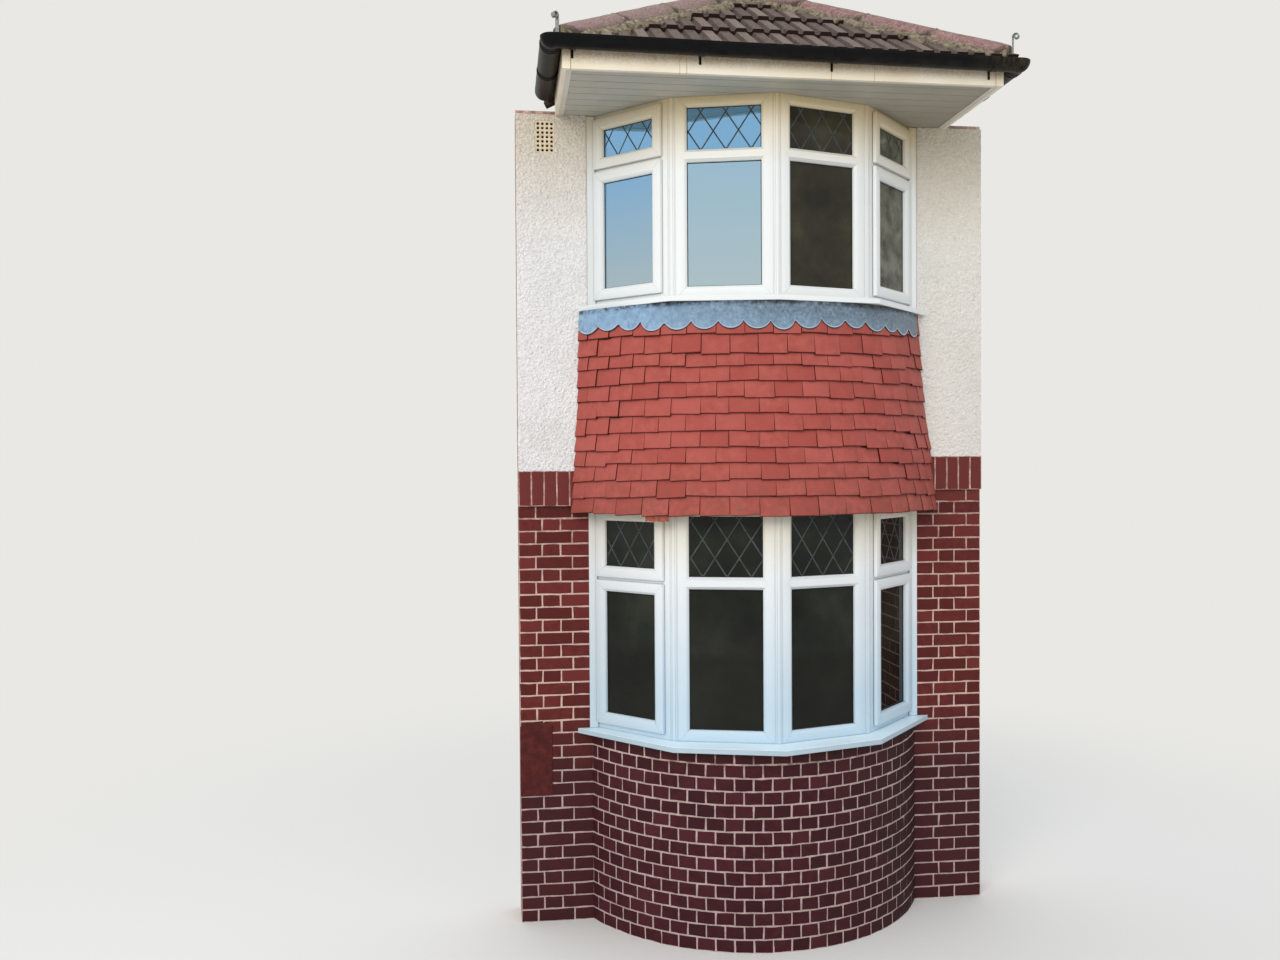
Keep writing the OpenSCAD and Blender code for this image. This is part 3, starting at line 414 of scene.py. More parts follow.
# Plinth: 15 courses of headers, 23 to the course, set on the curve in flat faces and painted plum;
# every other course starts with a half brick. The curve meets the wall face on both sides.
plinth_radius = 1.1327
plinth_middle = np.array([0.0, plinth_radius - 0.6003, 0.0])
half_turn = np.arcsin(1.0 / plinth_radius)
brick_turn = 2 * half_turn / 23
middles, tangents, outs, widths = [], [], [], []
for number in range(15):
    edges = np.linspace(-half_turn, half_turn, 24)
    if number % 2 == 1:
        edges = np.concatenate([[-half_turn], edges[:-1] + brick_turn / 2, [half_turn]])
    turn = (edges[1:] + edges[:-1]) / 2
    flat = np.stack([np.sin(turn), -np.cos(turn), 0 * turn], 1)
    middles += list(plinth_middle + plinth_radius * np.cos(np.diff(edges) / 2)[:, None] * flat
                    + [0, 0, (number + 0.5) * course] + 0.0006 * flat)
    tangents += list(np.stack([np.cos(turn), np.sin(turn), 0 * turn], 1))
    outs += list(flat)
    widths += list(2 * plinth_radius * np.sin(np.diff(edges) / 2) - joint)
lay_bricks("plinth_bricks", middles, tangents, outs, widths, course - joint, plinth_paint, 23, (5, 3))

# Patch: a closed opening on the left strip, floated over with cement mortar to a round top. It is
# painted like the bricks, and the paint shows the float's marks.
patch_paint = finish("painted_cement", ["#421614", "#4e1c1a", "#5d2421"], 0.05, 0.62, 0.012, 0.003,
                     Specular_IOR_Level=0.25)


def bevelled(name, node, width, made, segments=2):
    """A merged copy of a CAD node, its edges rounded to this radius, that stands for the node."""
    sharp = np.radians(40)
    mesh = cad[node].data.copy()
    work = bmesh.new()
    work.from_mesh(mesh)
    bmesh.ops.remove_doubles(work, verts=work.verts, dist=1e-5)
    bmesh.ops.dissolve_limit(work, angle_limit=np.radians(0.5), verts=work.verts, edges=work.edges)
    work.to_mesh(mesh)
    work.free()
    mesh.materials.clear()
    mesh.materials.append(made)
    mesh.shade_smooth()
    mesh.set_sharp_from_angle(angle=sharp)
    piece = linked(name, mesh)
    rounding = piece.modifiers.new("rounding", "BEVEL")
    rounding.width = width
    rounding.segments = segments
    rounding.limit_method = "ANGLE"
    rounding.angle_limit = sharp
    rounding.harden_normals = True
    tie(piece, node)


bevelled("cement_patch", "render_patch", 0.003, patch_paint, 3)

# Air brick: pressed buff terracotta with square holes, fired hard and matt, and bedded flush in the
# roughcast of the left strip. The holes are painted dark inside as painted shade.
terracotta = finish("buff_terracotta", ["#cbb697", "#d8c8ad", "#e0d3bb"], 0.03, 0.8, 0.002, 0.0005)
# Painted shade: faces deep in the holes are near black.
stain(terracotta, "#2e2a24", fade(terracotta, "Y", -0.012, 0.004))
bevelled("air_brick_cast", "air_brick", 0.0015, terracotta)

# Roughcast: wet pebble dash thrown on the upper walls and painted white, with grey speckles painted in
# as shade in its pits. Towards the eaves it is painted cream as warm painted shade, and is dirty there.
# A sheet of 4 mm squares stands out of the CAD coat in lumps about 10 mm across.
roughcast = finish("painted_roughcast", ["#ececec", "#f4f4f5", "#f9f9fa"], 0.3, 0.85, 0.006, 0.005)
weather(roughcast,
        ("#b1aba4", "Z", 0.0, 1.0, 0.42, 0.0075),
        ("#dccbaa", "Z", 4.0, 4.8, 0.6),
        ("#8f8470", "Z", 4.1, 4.8, 0.5, 0.008),
        ("#e8dfc6", "X", 0.9, 1.1, 0.3))
paint(roughcast, "render_coats")


def even_noise(random, shape, passes):
    """Random heights on a grid, averaged with their neighbours so many times, with a spread of 1."""
    height = random.normal(0, 1, shape)
    for _ in range(passes):
        height = (height + np.roll(height, 1, 0) + np.roll(height, 1, 1)
                  + np.roll(height, -1, 0) + np.roll(height, -1, 1)) / 5
    return (height - height.mean()) / height.std()


def grid(rows, columns):
    """The faces of a grid of points, and the numbers of the points round its border."""
    index = np.arange(rows * columns).reshape(rows, columns)
    quads = np.stack([index[:-1, :-1], index[:-1, 1:], index[1:, 1:], index[1:, :-1]], -1).reshape(-1, 4)
    border = np.concatenate([index[0, :-1], index[:-1, -1], index[-1, :0:-1], index[:0:-1, 0]])
    return quads, border


def padded_sheet(front, back):
    """A closed skin: a grid of points in front, a rim, and one flat face on the rim's back points."""
    quads, border = grid(*front.shape[:2])
    rim = np.arange(len(border)) + front.size // 3
    sides = np.stack([border, rim, np.roll(rim, -1), np.roll(border, -1)], -1)
    points = np.concatenate([front.reshape(-1, 3), back.reshape(-1, 3)[border]])
    return points, [quads, sides, rim[None, ::-1]]


def ruled(*stops):
    """Even steps of about 4 mm between the stops, and the number of each stop's step."""
    lines, marks = [np.array([stops[0]])], [0]
    for low, high in zip(stops, stops[1:]):
        lines.append(np.linspace(low, high, int((high - low) / 0.0042) + 2)[1:])
        marks.append(marks[-1] + len(lines[-1]))
    return np.concatenate(lines), marks


vent_low, vent_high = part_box("air_brick")
coat_inside, coat_top, coat_front = 1.0215, 4.772, -0.0185
left_x_stops = (-wall_half, vent_low[0], vent_high[0], -coat_inside)
left_z_stops = (2.679, vent_low[2], vent_high[2], coat_top)
for side, seed, x_stops, z_stops in [("left", 31, left_x_stops, left_z_stops),
                                     ("right", 37, (coat_inside, wall_half), (2.754, coat_top))]:
    across, x_marks = ruled(*x_stops)
    upward, z_marks = ruled(*z_stops)
    random = np.random.default_rng(seed)
    shape = (len(upward), len(across))
    lumps = np.clip(even_noise(random, shape, 1), -2.2, 2.6) * 0.0019 + even_noise(random, shape, 4) * 0.0005
    lumps += even_noise(random, shape, 60) * 0.0004
    front = np.stack([*np.broadcast_arrays(across[None, :], coat_front - lumps, upward[:, None])], -1)
    back = front * [1, 0, 1] + [0, -0.0145, 0]
    if side == "left":
        cuts = [(0, z_marks[1], 0, x_marks[3]), (z_marks[2], z_marks[3], 0, x_marks[3]),
                (z_marks[1], z_marks[2], 0, x_marks[1]), (z_marks[1], z_marks[2], x_marks[2], x_marks[3])]
    else:
        cuts = [(0, z_marks[1], 0, x_marks[1])]
    sheets = [padded_sheet(front[a:b + 1, c:d + 1], back[a:b + 1, c:d + 1]) for a, b, c, d in cuts]
    put(side + "_roughcast", sheets, roughcast, smooth=80)

# Sills: white plastic boards with a turned-down nose, butt-jointed on the corners of the bay. They
# and all the window parts are extruded, so smooth and slightly glossy, with faint waves.
white_plastic = finish("white_window_plastic", ["#e6e9ea", "#ebeeef", "#f0f2f3"], 0.5, 0.34, 0.05, 0.0003)
tree = white_plastic.node_tree
# Painted shade: ambient occlusion greys the plastic in its corners, joints and recesses.
hidden = add(tree, "AmbientOcclusion", {"Distance": 0.011}, samples=6).outputs["AO"]
crevice_shade = add(tree, "MapRange", {"Value": hidden, "From Min": 0.82, "From Max": 0.4, "To Max": 0.62})
# Painted light on the window plastic: bluish low on the ground floor as painted sky light, cream at the
# ground floor heads and at the upper heads as painted warm bounce light, darker just under the soffit as dirt
# and painted shade, and greyer over the left side light.
weather(white_plastic,
        ("#bcd6e7", "Z", 2.15, 1.35, 0.85),
        ("#e2d8b9", "Z", 2.1, 2.46, 0.8),
        ("#eaeeee", "Z", 3.0, 3.1),
        ("#dcc694", "Z", 4.36, 4.76, 0.85),
        ("#dcc48f", "Z", 4.62, 4.80, 0.7, 0.02),
        ("#8c7a58", "Z", 4.72, 4.80, 0.12, 0.006),
        ("#c3cbce", "X", -0.6, -0.95, 0.34))
stain(white_plastic, "#e9ebe9", facing(white_plastic, "Y", 0.3))
stain(white_plastic, "#6f7578", crevice_shade.outputs[0])
# The ground sill's colour is painted light: bluish as painted sky light, brighter on its top faces as painted
# light from above, and greyer low on the nose as painted shade.
sill_plastic = finish("sill_plastic", ["#acc2cf", "#b3c7d3", "#bacdd8"], 0.3, 0.36, 0.05, 0.0003)
stain(sill_plastic, "#e2f6ff", facing(sill_plastic, "Z", 0.7))
stain(sill_plastic, "#8f8a80", fade(sill_plastic, "Z", 1.10, 1.0, 0.35, 0.02, 0.2))
bevelled("ground_sill_nosed", "ground_sill", 0.003, sill_plastic, 3)
bevelled("upper_sill_nosed", "upper_sill", 0.003, white_plastic, 3)
bevelled("window_boards_rounded", "window_boards", 0.003, white_plastic)
bevelled("cover_strips_rounded", "cover_strips", 0.0015, white_plastic)

# Windows: white plastic frames of welded, mitred lengths. The front lights are fixed, with a transom;
# a side light has a casement and a fanlight, each in a sash that laps over the frame.
light_w = 0.577
light_turn = np.radians([-45, -15, 15, 45])
half_line = light_w * (np.cos(light_turn[3]) + np.cos(light_turn[2]))
line_reach = light_w * (np.sin(light_turn[3]) + np.sin(light_turn[2])) - 0.042
front_x = light_w * np.cos(light_turn[2])
front_y = light_w * np.sin(light_turn[2]) - line_reach
joints = np.array([[-half_line, 0.042], [-front_x, front_y], [0, -line_reach], [front_x, front_y]])
pole_share = 0.016
light_from = [0.0, pole_share, pole_share, pole_share]
light_to = [light_w - pole_share, light_w - pole_share, light_w - pole_share, light_w]
floors = [("ground", 1.149, 1.338, 0.896), ("upper", 3.651, 1.130, 0.793)]


def stand(light, base, points):
    """Points along a light, into the room and up, turned and moved to the light's left joint."""
    x, y, z = np.moveaxis(np.asarray(points, float), -1, 0)
    turn = light_turn[light]
    return np.stack([joints[light, 0] + x * np.cos(turn) - y * np.sin(turn),
                     joints[light, 1] + x * np.sin(turn) + y * np.cos(turn), z + base], -1)


def mitred_ring(x0, x1, z0, z1, profile, gap=0.0005):
    """Four bars round a rectangle, cut at 45 degrees with a hairline gap at each corner; an array
    (bars, 2 ends, around, 3).

    The profile is a closed outline of (distance in from the rectangle's edge, depth) pairs.
    """
    inward, depth = np.array(profile).T
    near = inward + gap
    low_x, high_x = x0 + near, x1 - near
    low_z, high_z = z0 + near, z1 - near
    starts = np.stack([np.stack([low_x, depth, z0 + inward], 1), np.stack([x1 - inward, depth, low_z], 1),
                       np.stack([high_x, depth, z1 - inward], 1), np.stack([x0 + inward, depth, high_z], 1)])
    ends = np.stack([np.stack([high_x, depth, z0 + inward], 1), np.stack([x1 - inward, depth, high_z], 1),
                     np.stack([low_x, depth, z1 - inward], 1), np.stack([x0 + inward, depth, low_z], 1)])
    return np.stack([starts, ends], 1)


fixed_profile = [(0, 0.035), (0, -0.0288), (0.0004, -0.0297), (0.0013, -0.03), (0.0492, -0.03),
                 (0.05, -0.0296), (0.0632, -0.0183), (0.064, -0.017), (0.064, 0.035)]
side_profile = [(0, 0.035), (0, -0.0288), (0.0013, -0.03), (0.054, -0.03), (0.054, 0.035)]
sash_profile = [(0.0, -0.0325), (0.0, -0.0518), (0.0006, -0.0534), (0.0022, -0.054), (0.0492, -0.054),
                (0.05, -0.0536), (0.0632, -0.0423), (0.064, -0.041), (0.064, 0.023), (0.021, 0.023),
                (0.021, -0.0325)]
seal_profile = [(0.004, -0.033), (0.004, -0.0298), (0.009, -0.0298), (0.009, -0.033)]
gasket = np.array([(-0.0005, -0.0035), (-0.0005, 0.0), (0.0045, 0.0), (0.0045, -0.0015)])
bar_face = -0.0311
flat_bar = [(-1, 0.035), (-1, bar_face), (1, bar_face), (1, 0.035)]
beaded_bar = [(-1, 0.035), (-1, -0.017), (-0.977, -0.0183), (-0.588, -0.0299), (-0.565, bar_face),
              (0.565, bar_face), (0.588, -0.0299), (0.977, -0.0183), (1, -0.017), (1, 0.035)]


def transom(x0, x1, middle, half, outline):
    """A bar between two panes, from stile to stile; an array (1, 2 ends, around, 3).

    The outline is a closed one of (share of the half height, depth) pairs.
    """
    reach, depth = np.array(outline).T
    ends = [np.stack([x + 0 * reach, depth, middle + half * reach], 1) for x in (x0, x1)]
    return np.array([ends])


def transom_tips(x0, x1, middle, half):
    """The pointed ends of a transom's flat face, welded into the faces of both stiles."""
    tip = np.array([(-0.0133, -0.57), (-0.0133 - 0.57 * half, 0.0), (-0.0133, 0.57)])
    left = np.stack([x0 + tip[:, 0], 0 * tip[:, 0], middle + half * tip[:, 1]], 1)
    both = np.stack([left, left * [-1, 1, 1] + [x0 + x1, 0, 0]])
    return np.stack([both + [0, bar_face, 0], both + [0, -0.02, 0]], 1)


def pane_places(light, height, bar):
    """The two panes of a light, lower and upper: left, right, bottom, top, and their glass depth."""
    edge, half, glass_y = (0.1, 0.074, -0.024) if light in (0, 3) else (0.064, 0.034, 0.0)
    x0, x1 = light_from[light] + edge, light_to[light] - edge
    return [(x0, x1, edge, bar - half, glass_y), (x0, x1, bar + half, height - edge, glass_y)]


rubber = finish("black_gasket", ["#141514", "#1b1c1b"], 0.02, 0.6, 0.001, 0.0002)
gaskets = []
for storey, base, height, bar in floors:
    sashes = []
    for light, place in enumerate(["left", "front_left", "front_right", "right"]):
        x0, x1 = light_from[light], light_to[light]
        if light in (0, 3):
            rings = [mitred_ring(x0, x1, 0, height, side_profile),
                     transom(x0 + 0.054, x1 - 0.054, bar, 0.028, flat_bar)]
            for low, high in [(0.036, bar - 0.01), (bar + 0.01, height - 0.036)]:
                sash = (x0 + 0.036, x1 - 0.036, low, high)
                sashes.append(tubes(stand(light, base, mitred_ring(*sash, sash_profile))))
                gaskets.append(tubes(stand(light, base, mitred_ring(*sash, seal_profile, 0))))
        else:
            rings = [mitred_ring(x0, x1, 0, height, fixed_profile),
                     transom(x0 + 0.0505, x1 - 0.0505, bar, 0.034, beaded_bar),
                     transom_tips(x0 + 0.064, x1 - 0.064, bar, 0.034)]
        name = f"{storey}_{place}_frame"
        bars = [tubes(stand(light, base, ring)) for ring in rings]
        put(name + "_welded", bars, white_plastic, name)
        for *pane, glass_y in pane_places(light, height, bar):
            gaskets.append(tubes(stand(light, base, mitred_ring(*pane, gasket + [0, glass_y], 0))))
    put(f"{storey}_sashes_welded", sashes, white_plastic, f"{storey}_sashes")
put("glazing_gaskets", gaskets, rubber)

# Poles: hollow white posts, extruded in plastic, that couple neighbouring lights. Their outer faces
# are ribbed lengthwise by two fine grooves on each side of the nose.
groove_at = np.array([0, 0.14, 0.2, 0.26, 0.52, 0.58, 0.64, 0.92])[:, None]
groove_depth = np.array([0, 0, 0.0016, 0, 0, 0.0016, 0, 0])[:, None]
pole_edge, frame_front, frame_back = 0.0156, -0.03, 0.035


def rod(start, end):
    """One closed bar from an outline at its start to the same one at its end."""
    return tubes(np.stack([start, end])[None])


for storey, base, height, bar in floors:
    posts = []
    for light in (1, 2, 3):
        before, after = (stand(number, base, [(x, frame_front, 0), (x, frame_back, 0)])
                         for number, x in ((light - 1, light_w - pole_edge), (light, pole_edge)))
        bisect = light_turn[[light - 1, light]].mean()
        lean = 1 / np.cos((light_turn[light] - light_turn[light - 1]) / 2)
        outward = np.array([np.sin(bisect), -np.cos(bisect), 0]) * lean
        middle = np.array([*joints[light], base])
        nose = middle + 0.0315 * outward
        inner = middle - 0.035 * outward
        face = before[0] + (nose - before[0]) * groove_at - outward * groove_depth
        other = after[0] + (nose - after[0]) * groove_at[::-1] - outward * groove_depth[::-1]
        outline = np.concatenate([face, other, [after[1], inner, before[1]]])
        posts.append(rod(outline, outline + [0, 0, height]))
    put(f"{storey}_poles_ribbed", posts, white_plastic, f"{storey}_poles", smooth=20)

# Glass: sealed units of clear float, dark because the rooms behind are dark, and slightly wavy. The
# upper left lights are painted sky blue, paler lower down, as a painted reflection of the sky, and are
# mirror-like; the upper right light is painted lighter grey as a painted reflection.
ground_glass = finish("dark_room_glass", ["#12140f", "#20221c", "#30322a"], 0.7, 0.03, 0.35, 0.0005, IOR=1.3)
stain(ground_glass, "#12110c", fade(ground_glass, "Z", 1.66, 1.6, 0.6))
upper_glass = finish("upper_room_glass", ["#23221a", "#312f23", "#42402f"], 0.4, 0.03, 0.35, 0.0005, IOR=1.3)
# Painted reflections: the right side light lighter grey; the upper left lights sky blue, paler lower down and
# on the front left light.
stain(upper_glass, "#7c7f71", fade(upper_glass, "X", 0.56, 0.6, 0.8, 0.12))
sky_side = fade(upper_glass, "X", 0.01, -0.01)
stain(upper_glass, "#88bce6", sky_side)
stain(upper_glass, "#b4c8d2", sky_side, fade(upper_glass, "Z", 4.45, 3.75))
pale_side = fade(upper_glass, "X", -0.57, -0.55)
stain(upper_glass, "#c0d9e2", sky_side, pale_side, fade(upper_glass, "Z", 4.47, 4.45, 0.5))
tree = upper_glass.node_tree
room_side = facing(upper_glass, "Y", 0.1)
mirror = add(tree, "Math", {0: sky_side, 1: 0.95}, operation="MULTIPLY").outputs[0]
mirror = add(tree, "Math", {0: mirror, 1: room_side}, operation="SUBTRACT", use_clamp=True)
tree.links.new(mirror.outputs[0], tree.nodes["Principled BSDF"].inputs["Metallic"])
# Painted daylight: the room-side faces of the glass are pale grey.
for glass in (ground_glass, upper_glass):
    stain(glass, "#b4c1c6", facing(glass, "Y", 0.1))
paint(ground_glass, "ground_glass")
paint(upper_glass, "upper_glass")

# Lead lattice: strips of lead 9 mm wide, stuck on the outside of the top lights in diamonds. They
# have gone dull grey.
lead_grey = finish("dull_lead_strip", ["#343a3c", "#43494b", "#525759"], 0.05, 0.6, 0.003, 0.0003,
                   Specular_IOR_Level=0.3)
across, depth = np.array([(-0.0045, 0.0005), (-0.003, -0.0013), (0.003, -0.0013), (0.0045, 0.0005)]).T
first_foot = [0.103, 0.078, 0.078, 0.103]
diamond_height = 0.212
strips = []
for storey, base, height, bar in floors:
    diamond_width = 0.141 if storey == "upper" else 0.137
    slope = diamond_height / diamond_width
    for light in range(4):
        x0, x1, z0, z1, glass_y = pane_places(light, height, bar)[1]
        for lean in (1, -1):
            aside = np.array([1.0, -lean / slope]) / np.hypot(1 / slope, 1.0)
            for number in range(-4, 8):
                foot = x0 + first_foot[light] + number * diamond_width
                x = np.clip([[foot], [foot + lean * (z1 - z0) / slope]], x0, x1)
                if abs(x[1, 0] - x[0, 0]) < 1e-6:
                    continue
                z = z0 + (x - foot) * lean * slope
                ends = np.stack([x + across * aside[0], 0 * x + glass_y + depth, z + across * aside[1]], -1)
                strips.append(tubes(stand(light, base, ends[None])))
put("lead_lattice", strips, lead_grey)

# Inside: sawn softwood studs, joists and rafters, boarded floor, and skimmed plaster, as the usual
# house of this kind has them behind the parts that show.
timber = finish("sawn_softwood", ["#a67c4c", "#b98e5c", "#c79d6c"], 0.05, 0.75, 0.004, 0.0008)
stain(timber, "#8e6439", fade(timber, "Z", 0.0, 0.1, 0.5, 0.012, 8))
boards = finish("pine_floorboards", ["#8c6236", "#9c7144", "#aa7f50"], 0.08, 0.55, 0.006, 0.0005)
plaster = finish("skimmed_plaster", ["#dedacd", "#e8e4d8", "#efece2"], 0.4, 0.8, 0.006, 0.0004)
paint(timber, "stud_wall", "floor_joists", "head_beam", "roof_frame")
paint(boards, "first_floor")
paint(plaster, "stud_lining", "ground_ceiling", "bay_ceiling")

# Hung tiles: machine-made clay plain tiles, 165 mm wide, lapped at 91 mm in 12 courses and painted
# red. They are nailed to a curve, flat and a little uneven, and the foot kicks out to a bell cast.
tile_paint = finish("red_tile_paint", ["#a34e45", "#ab544b", "#b25b52"], 0.06, 0.68, 0.003, 0.0011,
                    Specular_IOR_Level=0.3)
# Tiles vary in tone at random and are browner towards the foot; their backs, butts and edges are painted near
# black as painted shade under each course and in the joints.
weather(tile_paint,
        ("#a34b43", "shade", 0.62, 1.0),
        ("#b15951", "shade", 0.3, 0.0),
        ("#7c4c40", "Z", 2.8, 2.4, 0.6, 0.035),
        ("#450d08", "shade", 1.05, 1.4))
gap_shade_paint = finish("shaded_tile_paint", ["#301412", "#3b1917"], 0.05, 0.8, 0.003, 0.0005)
apron_y = 0.680
foot_z = np.array([[2.431, 2.430, 2.428], [2.517, 2.540, 2.518], [2.612, 2.632, 2.614], [2.704, 2.724, 2.704],
                   [2.792, 2.811, 2.794], [2.884, 2.903, 2.893], [2.979, 2.995, 2.995], [3.080, 3.087, 3.088],
                   [3.172, 3.175, 3.184], [3.269, 3.262, 3.282], [3.352, 3.329, 3.372], [3.449, 3.437, 3.498],
                   [3.560, 3.550, 3.600]])
tip_x = np.array([[1.125, 1.146], [1.121, 1.135], [1.116, 1.121], [1.107, 1.112], [1.100, 1.105],
                  [1.095, 1.087], [1.091, 1.073], [1.089, 1.064], [1.087, 1.056], [1.085, 1.048],
                  [1.083, 1.042], [1.079, 1.032], [1.075, 1.028]])
tile_gap = 0.0225
tip_radius = np.hypot(tip_x, apron_y + tile_gap)
tip_turn = np.arcsin(tip_x / tip_radius)
rank = np.minimum(np.arange(13), 11)
middle_radius = 1.2562 + 0.068 * (1 - rank / 11) ** 1.5


def course_line(number, turn):
    """Radius and height of a course's foot at an angle: each grows with the square of the angle
    from its value at the middle to its value at the tip on that side."""
    side = np.where(turn < 0, 0, 1)
    share = (turn / tip_turn[number, side]) ** 2
    radius = middle_radius[number] + (tip_radius[number, side] - middle_radius[number]) * share
    height = foot_z[number, 1] + (foot_z[number, side * 2] - foot_z[number, 1]) * share
    return radius, height


def ring_point(turn, radius, height):
    """A point at an angle from the street direction, on a circle about the apron's axis."""
    turn, radius, height = np.broadcast_arrays(turn, radius, height)
    return np.stack([radius * np.sin(turn), apron_y - radius * np.cos(turn), height], -1)


def before_wall(points, gap):
    """The points, with those that come closer to the wall's face than the gap moved out to it."""
    return np.minimum(points, [np.inf, -gap, np.inf])


def skins(front, back):
    """Closed plates from grids of points on both faces; arrays (plates, rows, columns, 3)."""
    plates, rows, columns = front.shape[:3]
    quads, border = grid(rows, columns)
    behind = rows * columns
    sides = np.stack([border, border + behind, np.roll(border, -1) + behind, np.roll(border, -1)], -1)
    one = np.concatenate([quads, quads[:, ::-1] + behind, sides])
    first = (np.arange(plates) * 2 * behind)[:, None, None]
    return np.stack([front, back], 1).reshape(-1, 3), [(one[None] + first).reshape(-1, 4)]


random = np.random.default_rng(41)
tile_width, tile_thick, apron_round = 0.1655, 0.0115, 1.29
tile_turn = tile_width / apron_round
left_edges, right_edges, ranks = [], [], []
for number in range(12):
    low, high = -tip_turn[number, 0], tip_turn[number, 1]
    start = -8.19 if number % 2 else -7.73
    edges = (start + np.arange(18)) * tile_turn + random.normal(0, 0.0028, 18)
    inside = (edges > low + 0.25 * tile_turn) & (edges < high - 0.25 * tile_turn)
    edges = np.concatenate([[low], edges[inside], [high]])
    left_edges += list(edges[:-1])
    right_edges += list(edges[1:])
    ranks += [number] * (len(edges) - 1)
left_edges, right_edges, ranks = np.array(left_edges), np.array(right_edges), np.array(ranks)
centre_turn = (left_edges + right_edges) / 2
foot_radius, foot_height = course_line(ranks, centre_turn)
next_radius, next_height = course_line(ranks + 1, centre_turn)
half_width = foot_radius * np.tan((right_edges - left_edges) / 2) - random.uniform(0.0008, 0.0022, len(ranks))
radial = np.stack([np.sin(centre_turn), -np.cos(centre_turn), 0 * centre_turn], -1)
tangent = np.stack([np.cos(centre_turn), np.sin(centre_turn), 0 * centre_turn], -1)
across = np.array([-1, -0.975, 0, 0.975, 1])
rise = np.array([0, 0.05, 0.35, 0.7, 1.0])
gauge = next_height - foot_height
lean_in = (foot_radius - next_radius + 0.0135) / gauge
drop = random.normal(0, 0.0034, len(ranks))
skew = random.normal(0, 0.012, len(ranks)) + np.where((ranks < 3) & (centre_turn < -0.4), 0.05, 0.0)
push = random.normal(0, 0.0017, len(ranks))
length = (gauge + 0.024)[:, None, None] * rise[None, :, None]
sideways = half_width[:, None, None] * across[None, None, :]
edge_drop = np.where(np.abs(across) == 1, 0.0014, 0.0)[None, :] + np.where(rise == 0, 0.0016, 0.0)[:, None]
camber = 0.0016 * np.sin(np.pi * rise)[None, :, None]
stand_out = (push[:, None, None] - lean_in[:, None, None] * length + camber - edge_drop
             + random.normal(0, 0.0003, (len(ranks), 5, 5)))
lift = (length + drop[:, None, None] + skew[:, None, None] * sideways
        + random.normal(0, 0.0005, (len(ranks), 1, 5)))
foot, radial, tangent = (rows[:, None, None, :] for rows in (
    ring_point(centre_turn, foot_radius, foot_height), radial, tangent))
front = foot + tangent * sideways[..., None] + radial * stand_out[..., None]
front[..., 2] += lift
front = before_wall(front, tile_gap)
shade = np.tile(random.random((len(ranks), 1, 1, 1)), (1, 2, 5, 5))
# Painted shade: backs and lowest rows near black, the side edges of the faces partly dark.
shade[:, 1] = 2.2
shade[:, :, 0] = 2.2
shade[:, 0, :, [0, -1]] = 1.35
back = front - tile_thick * radial
put("hung_tiles", [skins(front, back)], tile_paint, "tile_apron", shade=shade)

# Tile backing: behind the tiles the painted battens and felt close every gap, as one band on the
# same curve, from just over the foot of the lowest course to the top of the last. Its near black
# paint is painted shade in the gaps between the tiles.
turns = np.linspace(-1, 1, 61)
turn = turns[None, :] * np.where(turns < 0, tip_turn[:, :1], tip_turn[:, 1:])
radius, height = course_line(np.arange(13)[:, None], turn)
height[0] += 0.012
height[12] = 3.6195
depth = np.full((13, 1), 0.0225)
depth[0] = 0.05
band, inner = (before_wall(ring_point(turn, radius - inset, height), tile_gap) for inset in (0.0155, depth))
put("tile_backing", [skins(band[None], inner[None])], gap_shade_paint, smooth=60)

# Slipped piece: the foot of a broken clay tile hangs just under the lowest course, on the left. It
# is unpainted, so bare salmon, and its lower edge is ragged.
bare_clay = finish("bare_broken_clay", ["#8a4638", "#9c5243", "#ab6150"], 0.02, 0.85, 0.002, 0.001)
turn, rise_share = np.meshgrid(np.radians(np.linspace(-33.9, -27.9, 9)), np.linspace(0, 1, 4))
ragged = 0.004 * np.sin(turn * 160) * (1 - rise_share)
outer = ring_point(turn, 1.312, 2.399 + 0.05 * rise_share + ragged)
inner = outer * [0.992, 0.992, 1]
put("slipped_tile_piece", [skins(outer[None], inner[None])], bare_clay, smooth=30)

# Lead skirt: one sheet dressed over the top course under the sill, its lower edge cut in scallops
# and painted blue. The cut edge lifts a little, and the sheet is creased and cracked on the left.
lead_paint = finish("blue_paint_on_lead", ["#7896b3", "#86a6c4", "#92b4d2"], 0.05, 0.5, 0.02, 0.003)
tree = lead_paint.node_tree
place = tree.nodes["place"].outputs["Object"]
bent = add(tree, "TexNoise", {"Vector": place, "Scale": 9.0, "Detail": 3.0}).outputs["Color"]
bent = add(tree, "MixRGB", {"Fac": 0.22, "Color1": place, "Color2": bent}).outputs[0]
cells = add(tree, "TexVoronoi", {"Vector": bent, "Scale": 9.0}, feature="DISTANCE_TO_EDGE")
edge = cells.outputs["Distance"]
cracks = add(tree, "MapRange", {"Value": edge, "From Min": 0.02, "From Max": 0.008}).outputs[0]
stain(lead_paint, "#5b6a75", fade(lead_paint, "X", -0.75, -0.05, 0.35))
greyer = fade(lead_paint, "X", -0.75, -0.05, 0.95)
stain(lead_paint, "#4f5b64", greyer, fade(lead_paint, "Z", 3.500, 3.565, 1.0, 0.02))
# Greyer towards the right with dirt, with lighter patches on the creases as painted highlights, and patches
# of darker grey.
weather(lead_paint,
        ("#6b7378", "X", 0.0, 0.9, 0.6),
        ("#9db6cb", "X", -0.9, -0.3, 0.3, 0.03, 0.5),
        ("#4f5f6d", "X", -0.9, 0.3, 0.55, 0.018))
stain(lead_paint, "#33414f", cracks, fade(lead_paint, "X", -0.35, -0.6, 0.85, 0.08))
